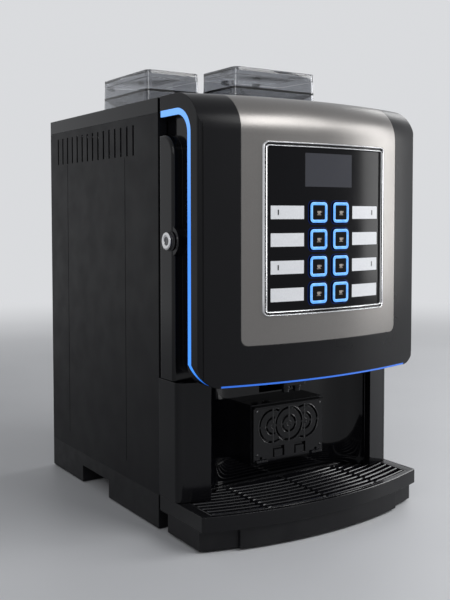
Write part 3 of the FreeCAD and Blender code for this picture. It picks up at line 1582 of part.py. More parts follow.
# Grinders: a head with the burr chamber, a motor below it and a bracket to the dividing wall
head_low = grinder_top - 60
motor_radius = cell("motor_radius", 31, "radius of a grinder's motor")
motor_low = cell("motor_low", 440, "height of a grinder motor's lower end")
burr_depth = cell("burr_depth", 24, "depth of a burr chamber")
spindle_radius = cell("spindle_radius", 4, "radius of a burr's spindle")


def grinder(name, x, y, wall_y, spout):
    head = drum("z", (x, y, head_low), grinder_radius, grinder_top - head_low, 16)
    motor = drum("z", (x, y, motor_low), motor_radius, head_low - motor_low + 1, 16)
    bracket = box((x - 28, x + 28), sorted_span(y, wall_y), (head_low - 10, head_low))
    return piece(
        name,
        cut(
            fuse(head, motor, bracket, *spout),
            drum("z", (x, y, grinder_top - burr_depth), burr_radius + 1.5, burr_depth + 5, 24),
            rod("z", (x, y, head_low + 6), spindle_radius + pin_play, grinder_top - head_low),
        ),
    )


def burr(name, x, y):
    """A burr on its spindle, with three cutting lugs."""
    low = grinder_top - burr_depth + 1
    lugs = [
        box((x - 2, x + 2), sorted_span(y + sign * 9, y + sign * (burr_radius - 3)), (low + 9, low + 13))
        for sign in (-1, 1)
    ]
    cross = box((x - burr_radius + 3, x + burr_radius - 3), (y - 2, y + 2), (low + 9, low + 13))
    return piece(
        name,
        fuse(
            drum("z", (x, y, low), burr_radius, 7, 24),
            drum("z", (x, y, low + 6), 12, 9),
            rod("z", (x, y, head_low + 6.5), spindle_radius, low - head_low - 6),
            cross, *lugs,
        ),
    )


front_spout = [box((front_hopper_x - 9, front_hopper_x + 9), (brew_y + 12, front_hopper_y),
                   (head_low + 2, head_low + 20))]
rear_spout = [
    box((rear_hopper_x - 9, rear_hopper_x + 9), (divider_y + 20, rear_hopper_y),
        (head_low + 2, head_low + 20)),
]
grinder("grinder_front", front_hopper_x, front_hopper_y, divider_y, front_spout)
grinder("grinder_rear", rear_hopper_x, rear_hopper_y, divider_y + chassis_sheet, rear_spout)
burr("burr_front", front_hopper_x, front_hopper_y)
burr("burr_rear", rear_hopper_x, rear_hopper_y)

# Brew unit: a back plate with the chamber, and the piston that slides in it
chamber_low = cell("chamber_low", 330, "height of the brew chamber's lower end")
chamber_high = cell("chamber_high", 400, "height of the brew chamber's upper end")
brew_floor = service_shelf + chassis_sheet
chamber_outer = chamber_radius + 5
back_plate_y = brew_y + chamber_outer
piston_radius = chamber_radius - pin_play
yoke_low = cell("yoke_low", 300, "height of the brew unit's guide")
piece(
    "brew_frame",
    cut(
        fuse(
            box((brew_x - 45, brew_x + 45), (back_plate_y - 2, back_plate_y + 4), (brew_floor, 440)),
            box((brew_x - 45, brew_x + 45), (brew_y - 40, back_plate_y + 4), (brew_floor, brew_floor + 4)),
            drum("z", (brew_x, brew_y, chamber_low), chamber_outer, chamber_high - chamber_low, 16),
            box((brew_x - 14, brew_x + 14), (brew_y - 14, back_plate_y), (yoke_low, yoke_low + 10)),
            drum("z", (brew_x, brew_y, chamber_high - 1), chamber_outer + 10, 20, 16),
        ),
        drum("z", (brew_x, brew_y, chamber_low - 5), chamber_radius, 200, 24),
        drum("z", (brew_x, brew_y, chamber_high + 4), chamber_radius + 10, 20, 16),
        drum("z", (brew_x, brew_y, yoke_low - 5), 6 + pin_play, 20),
    ),
)
piece(
    "brew_piston",
    fuse(
        drum("z", (brew_x, brew_y, chamber_low + 2), piston_radius, 14, 24),
        drum("z", (brew_x, brew_y, brew_floor + 8), 6, chamber_low - brew_floor - 5),
        drum("z", (brew_x, brew_y, brew_floor + 8), 11, 8),
    ),
)

# Powder canisters with augers, and the mixer bowl with its whipper
canister_top = cell("canister_top", 485, "height of a canister's lid")
canister_rear = cell("canister_rear", 40, "Y of a canister's rear")
auger_z = powder_shelf + auger_radius + 6


def canister_section(x, inset):
    """A canister's cross-section at an inset: a round trough under sloping shoulders."""
    half = canister_width / 2 - inset
    trough = auger_radius + 3.5 - inset
    floor = [
        (x + trough * math.cos(math.radians(angle)), auger_z + trough * math.sin(math.radians(angle)))
        for angle in range(180, 361, 30)
    ]
    return floor + [
        (x + half, auger_z + 34),
        (x + half, canister_top - inset),
        (x - half, canister_top - inset),
        (x - half, auger_z + 34),
    ]


def canister(name, x):
    """A hollow canister with an outlet below its front end and an overhanging lid."""
    half = canister_width / 2 + 1.5
    return piece(
        name,
        cut(
            fuse(
                prism("XZ", canister_front, canister_rear, canister_section(x, as_size(0))),
                box((x - half, x + half), (canister_front - 1.5, canister_rear + 1.5),
                    (canister_top - 12, canister_top + 2)),
                drum("z", (x, outlet_y, powder_shelf - 14), 11, 20),
            ),
            prism("XZ", canister_front + thin_wall, canister_rear - thin_wall,
                  canister_section(x, as_size(2))),
            rod("y", (x, canister_rear - 5, auger_z), 4 + pin_play, 20),
            drum("z", (x, outlet_y, powder_shelf - 20), 8.2, 35),
            rod("y", (x, canister_front - 5, auger_z), 3 + pin_play, 15),
        ),
    )


def auger(name, x):
    """An auger's shaft with its flights as inclined discs, and the drive coupling behind."""
    start = canister_front + 10
    parts = [
        rod("y", (x, canister_front - 2, auger_z), 3, 20),
        drum("y", (x, start, auger_z), 4, canister_rear - start + 2, 8),
        drum("y", (x, canister_rear + 0.6, auger_z), 9, 10, 8),
    ]
    for turn in range(5):
        parts.append(drum("y", (x, start + 4 + turn * 24, auger_z), auger_radius, 2))
    return piece(name, fuse(*parts))


canister_xs = (canister_middle - canister_pitch / 2, canister_middle + canister_pitch / 2)
for tag, x in zip(("left", "right"), canister_xs):
    canister(f"canister_{tag}", x)
    auger(f"auger_{tag}", x)
bowl_y = outlet_y
bowl_low = brew_floor
bowl_radius = cell("bowl_radius", 17, "radius of the mixer's whipping chamber")
bowl_top = powder_shelf - 16
whipper_z = bowl_low + bowl_radius + 4
piece(
    "mixer_bowl",
    cut(
        fuse(
            prism("XY", bowl_top - 14, bowl_top,
                  softened(canister_middle - 62, canister_middle + 62, bowl_y - 18, bowl_y + 18,
                           as_size(10))),
            drum("y", (canister_middle, bowl_y - 16, whipper_z), bowl_radius + 3, 34, 16),
            box((canister_middle - 20, canister_middle + 20), (bowl_y - 14, bowl_y + 18),
                (bowl_low, whipper_z)),
        ),
        prism("XY", bowl_top - 11, bowl_top + 5,
              softened(canister_middle - 59, canister_middle + 59, bowl_y - 15, bowl_y + 15,
                       as_size(7))),
        drum("y", (canister_middle, bowl_y - 13, whipper_z), bowl_radius, 28, 16),
        rod("y", (canister_middle, bowl_y, whipper_z), 3 + pin_play, 40),
        drum("z", (canister_middle, bowl_y, whipper_z), 8, bowl_top - whipper_z + 5, 8),
    ),
)
blades = [
    box((canister_middle - whipper_radius, canister_middle + whipper_radius),
        (bowl_y - 8, bowl_y + 4), (whipper_z - 1, whipper_z + 1)),
    box((canister_middle - 1, canister_middle + 1), (bowl_y - 8, bowl_y + 4),
        (whipper_z - whipper_radius, whipper_z + whipper_radius)),
]
piece(
    "whipper",
    fuse(
        drum("y", (canister_middle, bowl_y - 9, whipper_z), 5, 14, 8),
        rod("y", (canister_middle, bowl_y - 9, whipper_z), 3, 52),
        drum("y", (canister_middle, bowl_y + 30, whipper_z), 9, 8, 8),
        *blades,
    ),
)

# Rear compartment: boiler, pump, inlet valve, power supply, control board and fan
floor = plinth_top + seat_gap
boiler_x = cell("boiler_x", 130, "X of the boiler's axis")
boiler_y = cell("boiler_y", 175, "Y of the boiler's axis")
boiler_radius = cell("boiler_radius", 42, "radius of the boiler")
boiler_low = floor + 90
boiler_length = cell("boiler_length", 130, "length of the boiler's straight wall")
piece(
    "boiler",
    fuse(
        drum("z", (boiler_x, boiler_y, boiler_low), boiler_radius, boiler_length, 16),
        drum("z", (boiler_x, boiler_y, boiler_low - 8), boiler_radius - 8, boiler_length + 16, 16),
        drum("z", (boiler_x, boiler_y, boiler_low + boiler_length + 6), 6, 20, 6),
        *[box((boiler_x + dx - 4, boiler_x + dx + 4), (boiler_y + dy - 4, boiler_y + dy + 4),
              (floor, boiler_low + 4))
          for dx, dy in ((-28, -26), (28, -26), (0, 37))],
    ),
)
pump_y = cell("pump_y", 170, "Y of the pump")
piece(
    "water_pump",
    fuse(
        box((inlet_x - 22, inlet_x + 22), (pump_y - 20, pump_y + 20), (floor, floor + 34)),
        drum("y", (inlet_x, pump_y - 55, floor + 22), 20, 40),
        drum("y", (inlet_x, pump_y + 18, floor + 24), 7, 16, 6),
    ),
)
thread_end = cabinet_rear - 3
valve_rear = thread_end - inlet_length
piece(
    "water_inlet",
    cut(
        fuse(
            rod("y", (inlet_x, valve_rear - 1, inlet_z), inlet_radius, inlet_length + 1),
            box((inlet_x - 18, inlet_x + 18), (valve_rear - 22, valve_rear), (inlet_z - 18, inlet_z + 18)),
            drum("z", (inlet_x, valve_rear - 11, inlet_z + 17), 12, 30),
            box((inlet_x - 14, inlet_x + 14), (valve_rear - 20, valve_rear - 4), (floor, inlet_z - 17)),
        ),
        drum("y", (inlet_x, valve_rear - 5, inlet_z), 8, inlet_length + 10),
    ),
)
socket_back = cabinet_rear - 26
piece(
    "power_inlet",
    cut(
        fuse(
            box((socket_x - socket_width / 2, socket_x + socket_width / 2), (socket_back, cabinet_rear),
                (socket_z - socket_height / 2, socket_z + socket_height / 2)),
            box((socket_x - 24, socket_x + 24), (cabinet_rear, cabinet_rear + 2),
                (socket_z - 14, socket_z + 14)),
        ),
        prism("XZ", cabinet_rear - 16, cabinet_rear + 5, [
            (socket_x - 12, socket_z - 8),
            (socket_x + 12, socket_z - 8),
            (socket_x + 12, socket_z + 4),
            (socket_x + 8, socket_z + 8),
            (socket_x - 8, socket_z + 8),
            (socket_x - 12, socket_z + 4),
        ]),
    ),
)
supply_x = (as_size(0), as_size(95))
piece(
    "power_supply",
    fuse(
        box(supply_x, (as_size(150), as_size(255)), (floor, floor + 42)),
        box((supply_x[0] + 6, supply_x[1] - 30), (as_size(160), as_size(200)),
            (floor + 42, floor + 60)),
    ),
)
board_back = divider_y + chassis_sheet
standoffs = [
    drum("y", (x, board_back, z), 3, 6.5, 6) for x in (-170, -40) for z in (290, 420)
]
piece(
    "control_board",
    fuse(
        box((-180, -30), (board_back + 6, board_back + 8), (280, 430)),
        box((-160, -120), (board_back + 8, board_back + 24), (300, 340)),
        box((-100, -60), (board_back + 8, board_back + 18), (350, 410)),
        drum("y", (-145, board_back + 8, 390), 11, 28),
        *standoffs,
    ),
)
fan_rear = cabinet_rear - sheet_metal - seat_gap
fan_depth = cell("fan_depth", 25, "depth of the fan")
fan_half = fan_radius + 6
piece(
    "fan_frame",
    fuse(
        cut(
            prism("XZ", fan_rear - fan_depth, fan_rear,
                  rectangle(fan_x - fan_half, fan_x + fan_half, fan_z - fan_half, fan_z + fan_half)),
            drum("y", (fan_x, fan_rear - fan_depth - 5, fan_z), fan_radius + 0.5, fan_depth + 10, 24),
        ),
        cut(
            fuse(
                drum("y", (fan_x, fan_rear - 3, fan_z), 16, 3),
                box((fan_x - fan_radius - 2, fan_x + fan_radius + 2), (fan_rear - 3, fan_rear),
                    (fan_z - 2.5, fan_z + 2.5)),
                box((fan_x - 2.5, fan_x + 2.5), (fan_rear - 3, fan_rear),
                    (fan_z - fan_radius - 2, fan_z + fan_radius + 2)),
            ),
            rod("y", (fan_x, fan_rear - 10, fan_z), 2.5 + pin_play, 15),
        ),
    ),
)


def fan_blade(turn):
    """One flat blade, pitched and set round the hub."""
    blade = doc.addObject("Part::Box", "Blade")
    bind(blade, "Length", fan_radius - 18)
    blade.Width = 1.6
    blade.Height = 20
    pitch = Rotation(Vector(1, 0, 0), 40)
    spin = Rotation(Vector(0, 1, 0), turn)
    centre = Vector(fan_x.value, fan_rear.value - fan_depth.value / 2 - 2, fan_z.value)
    local = FreeCAD.Placement(Vector(16.5, 0, 0), pitch) * FreeCAD.Placement(
        Vector(0, -0.8, -10), Rotation()
    )
    blade.Placement = FreeCAD.Placement(centre, spin) * local
    return blade


piece(
    "fan_rotor",
    fuse(
        drum("y", (fan_x, fan_rear - fan_depth + 3, fan_z), 17, fan_depth - 7),
        rod("y", (fan_x, fan_rear - 5, fan_z), 2.5, 4.5),
        *[fan_blade(360 / 7 * number) for number in range(7)],
    ),
)

# Check everything, then write one file for each piece
doc.recompute()
for item in doc.Objects:
    if "Invalid" in item.State or "Error" in item.State:
        raise RuntimeError(f"{item.Name} ({item.Label}) failed: {item.State}")
for name, item in pieces.items():
    if item.Shape.isNull() or not item.Shape.isValid() or not item.Shape.Solids:
        raise RuntimeError(f"{name} has no valid solid")
os.makedirs("parts", exist_ok=True)
for name, item in pieces.items():
    item.Shape.exportStep(f"parts/{name}.step")
    extent = item.Shape.BoundBox
    print(
        f"{name}: {len(item.Shape.Solids)} solid(s), {item.Shape.Volume / 1000:.1f} cm3, "
        f"X {extent.XMin:.1f}..{extent.XMax:.1f} Y {extent.YMin:.1f}..{extent.YMax:.1f} "
        f"Z {extent.ZMin:.1f}..{extent.ZMax:.1f}"
    )
print(len(pieces), "pieces")
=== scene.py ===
# %% [markdown]
# # Bean-to-cup coffee machine
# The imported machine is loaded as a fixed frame. This notebook gives every piece its material,
# adds the trim that sits on it, makes the bezel, hoppers and drip grille in finer detail, and
# sets the light and the camera.

# %% Load the machine
import bpy
import bmesh
import json
import math
from mathutils import Matrix, Vector


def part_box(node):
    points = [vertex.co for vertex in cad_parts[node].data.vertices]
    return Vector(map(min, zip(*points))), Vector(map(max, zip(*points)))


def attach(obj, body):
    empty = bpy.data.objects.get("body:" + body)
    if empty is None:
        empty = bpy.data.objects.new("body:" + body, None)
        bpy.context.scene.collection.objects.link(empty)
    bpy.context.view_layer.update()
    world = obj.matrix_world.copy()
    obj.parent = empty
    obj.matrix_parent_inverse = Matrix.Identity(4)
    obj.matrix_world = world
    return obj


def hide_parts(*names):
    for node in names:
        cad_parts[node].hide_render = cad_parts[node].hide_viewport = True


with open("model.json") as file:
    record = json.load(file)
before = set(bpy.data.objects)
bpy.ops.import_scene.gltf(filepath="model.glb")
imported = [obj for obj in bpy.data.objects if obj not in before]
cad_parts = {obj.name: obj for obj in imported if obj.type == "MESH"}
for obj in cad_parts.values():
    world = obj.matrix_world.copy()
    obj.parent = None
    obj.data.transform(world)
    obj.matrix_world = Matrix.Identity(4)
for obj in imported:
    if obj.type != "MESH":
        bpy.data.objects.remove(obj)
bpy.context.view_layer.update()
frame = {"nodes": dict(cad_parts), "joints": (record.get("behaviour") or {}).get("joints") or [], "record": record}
nodes = frame["nodes"]

# %% [markdown]
# ## Camera
# Solved from the photograph's straight edges: 852 px focal length at 450x600, and a principal
# point 43 px above the middle, which becomes a small vertical shift.

# %% Camera
PICTURE_HEIGHT = 600
FOCAL_PX = 852.449
PRINCIPAL_ROW = 257.42
YAW = math.radians(33.567)
PITCH = math.radians(2.794)
ROLL = math.radians(-0.044)
CAMERA_PLACE = (-0.8156, -1.2229, 0.4692)

camera_data = bpy.data.cameras.new("camera")
camera_data.sensor_width = 36
camera_data.lens = FOCAL_PX * camera_data.sensor_width / PICTURE_HEIGHT
camera_data.shift_y = (PRINCIPAL_ROW - PICTURE_HEIGHT / 2) / PICTURE_HEIGHT
camera_data.clip_start = 0.05
camera = bpy.data.objects.new("camera", camera_data)
camera.matrix_world = (
    Matrix.Translation(CAMERA_PLACE)
    @ Matrix.Rotation(-YAW, 4, "Z")
    @ Matrix.Rotation(math.pi / 2 - PITCH, 4, "X")
    @ Matrix.Rotation(ROLL, 4, "Z")
)
bpy.context.scene.collection.objects.link(camera)
bpy.context.scene.camera = camera
print("lens", round(camera_data.lens, 2), "shift", round(camera_data.shift_y, 4))

# %% [markdown]
# ## Building blocks
# Node helpers for the materials, and mesh helpers for the trim.


# %% Material helpers
coats = {}


def material(name, colour, roughness, metallic=0.0, **sockets):
    """A principled material with plain values on its own sockets, kept in coats by its name."""
    made = coats[name] = bpy.data.materials.new(name)
    made.use_nodes = True
    shader = made.node_tree.nodes["Principled BSDF"]
    shader.inputs["Base Color"].default_value = (*colour, 1)
    shader.inputs["Roughness"].default_value = roughness
    shader.inputs["Metallic"].default_value = metallic
    for socket, value in sockets.items():
        shader.inputs[socket.replace("_", " ")].default_value = value
    return made


def add_node(made, kind, **settings):
    """A node in a material, with its inputs or properties set by name."""
    node = made.node_tree.nodes.new(kind)
    for name, value in settings.items():
        title = name.replace("_", " ")
        if title in node.inputs:
            node.inputs[title].default_value = value
        else:
            setattr(node, name, value)
    return node


def link(made, source, target):
    made.node_tree.links.new(source, target)


def shader_of(made):
    return made.node_tree.nodes["Principled BSDF"]


def place_of(made, stretch=(1, 1, 1)):
    """Object coordinates, stretched along each axis."""
    place = add_node(made, "ShaderNodeTexCoord")
    mapping = add_node(made, "ShaderNodeMapping")
    mapping.inputs["Scale"].default_value = stretch
    link(made, place.outputs["Object"], mapping.inputs["Vector"])
    return mapping.outputs["Vector"]


def noise(made, scale, detail=2.0, stretch=(1, 1, 1)):
    node = add_node(made, "ShaderNodeTexNoise", Scale=scale, Detail=detail)
    link(made, place_of(made, stretch), node.inputs["Vector"])
    return node.outputs["Fac"]


def cells(made, scale, output="Distance"):
    node = add_node(made, "ShaderNodeTexVoronoi", Scale=scale)
    link(made, place_of(made), node.inputs["Vector"])
    return node.outputs[output]


def spread(made, source, low, high, start=0.3, end=0.7):
    """Maps a texture's values between two levels."""
    node = add_node(made, "ShaderNodeMapRange", From_Min=start, From_Max=end, To_Min=low, To_Max=high)
    link(made, source, node.inputs["Value"])
    return node.outputs["Result"]


def vary_colour(made, source, first, second, target="Base Color"):
    """A colour socket between two shades, driven by a texture."""
    node = add_node(made, "ShaderNodeMix", data_type="RGBA")
    colours = [socket for socket in node.inputs if socket.type == "RGBA"]
    colours[0].default_value = (*first, 1)
    colours[1].default_value = (*second, 1)
    link(made, source, node.inputs["Factor"])
    result = [socket for socket in node.outputs if socket.type == "RGBA"][0]
    link(made, result, shader_of(made).inputs[target])


def mottle(made, scale, detail, first, second, target="Base Color"):
    """A colour socket that wanders between two shades with a noise."""
    vary_colour(made, spread(made, noise(made, scale, detail), 0, 1), first, second, target)


def vary_roughness(made, scale, detail, low, high):
    """Roughness that wanders between two values with a noise."""
    link(made, spread(made, noise(made, scale, detail), low, high), shader_of(made).inputs["Roughness"])


def relief(made, source, distance, strength=1.0, edge=0.0):
    """Bump from a texture, over edges that catch the light as if they were rounded."""
    bump = add_node(made, "ShaderNodeBump", Strength=strength, Distance=distance)
    link(made, source, bump.inputs["Height"])
    if edge:
        bevel = add_node(made, "ShaderNodeBevel", samples=4, Radius=edge)
        link(made, bevel.outputs["Normal"], bump.inputs["Normal"])
    link(made, bump.outputs["Normal"], shader_of(made).inputs["Normal"])


# %% Mesh helpers
SHARP_ANGLE = math.radians(32)


def add_mesh(name, vertices, faces, coat, smooth=True):
    """A mesh object from plain lists, with outward normals, crisp edges and a named coat."""
    mesh = bpy.data.meshes.new(name)
    mesh.from_pydata([tuple(v) for v in vertices], [], faces)
    shape = bmesh.new()
    shape.from_mesh(mesh)
    bmesh.ops.recalc_face_normals(shape, faces=shape.faces)
    shape.to_mesh(mesh)
    shape.free()
    mesh.materials.append(coats[coat])
    made = bpy.data.objects.new(name, mesh)
    bpy.context.scene.collection.objects.link(made)
    if smooth:
        mesh.shade_smooth()
        mesh.set_sharp_from_angle(angle=SHARP_ANGLE)
    return made


def joined(name, shells, coat, smooth=True):
    """Several closed skins as one mesh object."""
    vertices, faces = [], []
    for more, sides in shells:
        faces += [tuple(index + len(vertices) for index in side) for side in sides]
        vertices += more
    return add_mesh(name, vertices, faces, coat, smooth)


def round_edges(made, width):
    """Rounds a piece's edges."""
    bevel = made.modifiers.new("edges", "BEVEL")
    bevel.width = width
    bevel.segments = 2
    bevel.limit_method = "ANGLE"
    bevel.angle_limit = math.radians(30)
    return made


def rounded_loop(half_width, half_height, radius, steps=6):
    """Points of a rounded rectangle, counterclockwise."""
    points = []
    for corner, (u, v) in enumerate(((1, 1), (-1, 1), (-1, -1), (1, -1))):
        centre_u = u * (half_width - radius)
        centre_v = v * (half_height - radius)
        for step in range(steps + 1):
            angle = math.pi / 2 * (corner + step / steps)
            points.append((centre_u + radius * math.cos(angle), centre_v + radius * math.sin(angle)))
    return points


def turns(steps):
    """The angles that divide a full circle into equal steps."""
    return [2 * math.pi * step / steps for step in range(steps)]


def stacked_loops(loops, endless=False):
    """Vertices and faces of a skin over loops with equal numbers of points.

    An endless skin joins its last loop to its first; any other is closed at both ends."""
    count = len(loops[0])
    vertices = [point for loop in loops for point in loop]
    faces = []
    for layer in range(len(loops) if endless else len(loops) - 1):
        low, high = layer * count, (layer + 1) % len(loops) * count
        for i in range(count):
            j = (i + 1) % count
            faces.append((low + i, low + j, high + j, high + i))
    if not endless:
        faces.append(tuple(range(count)))
        faces.append(tuple(range(len(vertices) - count, len(vertices))))
    return vertices, faces


def upright(outline, low, high):
    """The skin of an upright prism over an outline seen from above."""
    return stacked_loops([[Vector((u, v, z)) for u, v in outline] for z in (low, high)])


# The door's front is bowed in plan about a vertical axis
BOW_RADIUS = 0.700
BOW_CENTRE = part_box("door_shell")[0].y + BOW_RADIUS


def on_bow(x, z, proud):
    """A point on the door's front, proud of its surface."""
    reach = BOW_RADIUS + proud
    return Vector((x, BOW_CENTRE - math.sqrt(reach * reach - x * x), z))


def bowed_plate(name, outline, low, high, coat):
    """A thin plate on the bowed front between two heights above its surface."""
    loops = [[on_bow(x, z, proud) for x, z in outline] for proud in (low, high)]
    return add_mesh(name, *stacked_loops(loops), coat, smooth=False)


def bowed_ring(name, outer, inner, low, high, coat):
    """A raised ring on the bowed front, crowned between its outer and inner loops."""
    crown = low + (high - low) * 0.8
    sections = ((0, low), (0.25, crown), (0.5, high), (0.75, crown), (1, low))
    loops = [[on_bow(a[0] * (1 - share) + b[0] * share, a[1] * (1 - share) + b[1] * share, proud)
              for a, b in zip(outer, inner)] for share, proud in sections]
    return add_mesh(name, *stacked_loops(loops, endless=True), coat)


# %% [markdown]
# ## Materials
# Most finishes are rows of values for one function. Smears let the roughness wander, a tint does
# the same for the colour, and a grain is a fine bump with a distance and a strength. Each of them
# starts with the scale and the detail of its noise. A scale counts a texture's cells in a metre.


# %% Finishes of the body
def finish(name, colour, roughness, smears, grain=None, edge=0.0, tint=None, **sockets):
    """A material whose roughness, colour and surface vary with noises."""
    made = material(name, colour, roughness, **sockets)
    if tint:
        mottle(made, *tint)
    vary_roughness(made, *smears)
    if grain:
        scale, detail, distance, strength = grain
        relief(made, noise(made, scale, detail), distance, strength, edge)
    return made


# Glossy black moulding, with faint smears and a little orange peel
finish("black_gloss", (0.004, 0.004, 0.005), 0.1, smears=(9, 3, 0.07, 0.14),
       grain=(220, 1, 0.00002, 0.6), edge=0.0012, Specular_IOR_Level=0.22)
# The cup station's liner: the same black, polished until it mirrors the grille
finish("black_mirror", (0.002, 0.002, 0.003), 0.03, smears=(7, 3, 0.02, 0.05),
       grain=(40, 1, 0.00002, 0.3), edge=0.0008, Specular_IOR_Level=0.25)
# Ribs and slats, polished by use, so that their crowns draw thin lines of light
finish("rib_gloss", (0.004, 0.004, 0.005), 0.14, smears=(60, 3, 0.1, 0.2),
       grain=(500, 2, 0.00002, 0.5), Specular_IOR_Level=0.7)
# The door's satin black lacquer
finish("satin_black", (0.004, 0.004, 0.005), 0.3, smears=(14, 3, 0.26, 0.34),
       grain=(900, 2, 0.00002, 0.5), edge=0.0015, Specular_IOR_Level=0.16)
# Spark-eroded black plastic
finish("dark_moulding", (0.007, 0.007, 0.008), 0.42, smears=(60, 3, 0.36, 0.48),
       grain=(1700, 3, 0.00008, 0.7), edge=0.001,
       tint=(30, 4, (0.005, 0.005, 0.006), (0.010, 0.010, 0.011)), Specular_IOR_Level=0.18)
# Powder-coated sheet: a fine, pebbled black
coated = finish("coated_steel", (0.006, 0.006, 0.007), 0.42, smears=(25, 3, 0.38, 0.48),
                tint=(7, 3, (0.005, 0.005, 0.006), (0.009, 0.009, 0.010)), Specular_IOR_Level=0.12)
relief(coated, cells(coated, 900), 0.00006, 0.6, edge=0.0008)
# Zinc-plated sheet with a rolled grain
plated = material("plated_steel", (0.50, 0.51, 0.52), 0.36, metallic=1.0)
rolled = noise(plated, 60, 4, stretch=(1, 1, 22))
vary_colour(plated, spread(plated, rolled, 0, 1), (0.44, 0.45, 0.46), (0.56, 0.57, 0.57))
vary_roughness(plated, 40, 3, 0.3, 0.44)
relief(plated, rolled, 0.00003, 0.5, edge=0.0006)
# Silver lacquer with a fine metallic fleck
silver = material("silver_satin", (0.18, 0.172, 0.165), 0.32, metallic=0.9)
fleck = spread(silver, cells(silver, 2600, "Color"), 0, 1, 0, 1)
vary_colour(silver, fleck, (0.155, 0.148, 0.142), (0.205, 0.197, 0.188))
vary_roughness(silver, 12, 3, 0.29, 0.35)
relief(silver, noise(silver, 1500, 2), 0.00002, 0.5, edge=0.0012)
# Bright chrome plate with hairline polish marks
finish("chrome", (0.70, 0.70, 0.71), 0.1, smears=(35, 4, 0.08, 0.15),
       grain=(240, 2, 0.000004, 0.4), edge=0.0006, metallic=1.0)
finish("rubber", (0.02, 0.02, 0.021), 0.75, smears=(200, 3, 0.68, 0.84), grain=(1300, 3, 0.00012, 0.8))

# %% Finishes of the front panel
# Black acrylic, polished
finish("panel_glass", (0.002, 0.002, 0.003), 0.16, smears=(16, 3, 0.13, 0.18),
       grain=(120, 1, 0.00001, 0.4), edge=0.0006, Specular_IOR_Level=0.12)
# A key's dark centre
finish("key_glass", (0.002, 0.002, 0.003), 0.14, smears=(50, 2, 0.11, 0.18),
       grain=(300, 1, 0.00001, 0.4), edge=0.0008, Specular_IOR_Level=0.14)
# The keys' glowing surround: pale blue, deeper where the light guide thins
finish("blue_ring", (0.05, 0.18, 0.5), 0.3, smears=(90, 2, 0.25, 0.4),
       tint=(160, 2, (0.08, 0.34, 0.95), (0.22, 0.56, 1.0), "Emission Color"), Emission_Strength=0.8)
# Light that bleeds into the panel round each key
finish("blue_halo", (0.001, 0.002, 0.01), 0.2, smears=(90, 2, 0.16, 0.24),
       tint=(160, 2, (0.0, 0.015, 0.16), (0.0, 0.03, 0.26), "Emission Color"),
       Emission_Strength=0.35, Specular_IOR_Level=0.1)

# %% The door's light guide
# Palest at its top corner, deep blue at its foot
LIGHT_LOW, LIGHT_HIGH = 0.215, 0.69
LIGHT_STOPS = (
    (LIGHT_LOW, (0.0, 0.04, 0.30)),
    (0.236, (0.0, 0.06, 0.42)),
    (0.256, (0.04, 0.28, 0.98)),
    (0.440, (0.03, 0.24, 0.92)),
    (LIGHT_HIGH, (0.22, 0.48, 0.92)),
)
guide = material("blue_light", (0.03, 0.12, 0.4), 0.35, Emission_Strength=1.0)
height = add_node(guide, "ShaderNodeSeparateXYZ")
link(guide, place_of(guide), height.inputs["Vector"])
uneven = add_node(guide, "ShaderNodeMath", operation="ADD")
link(guide, height.outputs["Z"], uneven.inputs[0])
link(guide, spread(guide, noise(guide, 22, 2), -0.004, 0.004), uneven.inputs[1])
ramp = add_node(guide, "ShaderNodeValToRGB")
for place, _ in LIGHT_STOPS[1:-1]:
    ramp.color_ramp.elements.new((place - LIGHT_LOW) / (LIGHT_HIGH - LIGHT_LOW))
for element, (place, colour) in zip(ramp.color_ramp.elements, LIGHT_STOPS):
    element.position = (place - LIGHT_LOW) / (LIGHT_HIGH - LIGHT_LOW)
    element.color = (*colour, 1)
link(guide, spread(guide, uneven.outputs["Value"], 0, 1, LIGHT_LOW, LIGHT_HIGH), ramp.inputs["Fac"])
link(guide, ramp.outputs["Color"], shader_of(guide).inputs["Emission Color"])
vary_roughness(guide, 90, 2, 0.3, 0.45)

# %% Labels, display and print
# White card behind clear film, with a faint emission as a painted glow that lifts it above its light
finish("label_white", (0.60, 0.61, 0.63), 0.4, smears=(120, 2, 0.32, 0.46),
       grain=(1400, 3, 0.00002, 0.5), tint=(500, 4, (0.57, 0.58, 0.60), (0.63, 0.64, 0.66)),
       Emission_Color=(0.9, 0.93, 1.0, 1), Emission_Strength=0.10, Specular_IOR_Level=0.2)
# A dim display: grey behind a fine grid of dots
display = material("display", (0.03, 0.031, 0.036), 0.12, Emission_Color=(0.6, 0.62, 0.75, 1),
                   Emission_Strength=0.02, Specular_IOR_Level=0.2)
dots = add_node(display, "ShaderNodeTexChecker", Scale=1400)
link(display, place_of(display), dots.inputs["Vector"])
vary_colour(display, dots.outputs["Fac"], (0.024, 0.025, 0.030), (0.036, 0.037, 0.044))
vary_roughness(display, 30, 2, 0.1, 0.16)
finish("print_black", (0.012, 0.012, 0.014), 0.4, smears=(400, 2, 0.35, 0.5),
       tint=(900, 2, (0.010, 0.010, 0.012), (0.016, 0.016, 0.018)))
# The dim, warm grey print of the keys' signs
finish("print_pale", (0.30, 0.26, 0.22), 0.4, smears=(400, 2, 0.35, 0.5),
       tint=(700, 2, (0.26, 0.22, 0.19), (0.34, 0.30, 0.26)))

# %% Finishes of the hoppers and the inside
# Clear, lightly smoked plastic
finish("smoked_clear", (0.48, 0.49, 0.51), 0.04, smears=(30, 3, 0.02, 0.05),
       grain=(30, 0, 0.000008, 0.3), edge=0.0008, Transmission_Weight=1.0, IOR=1.49)
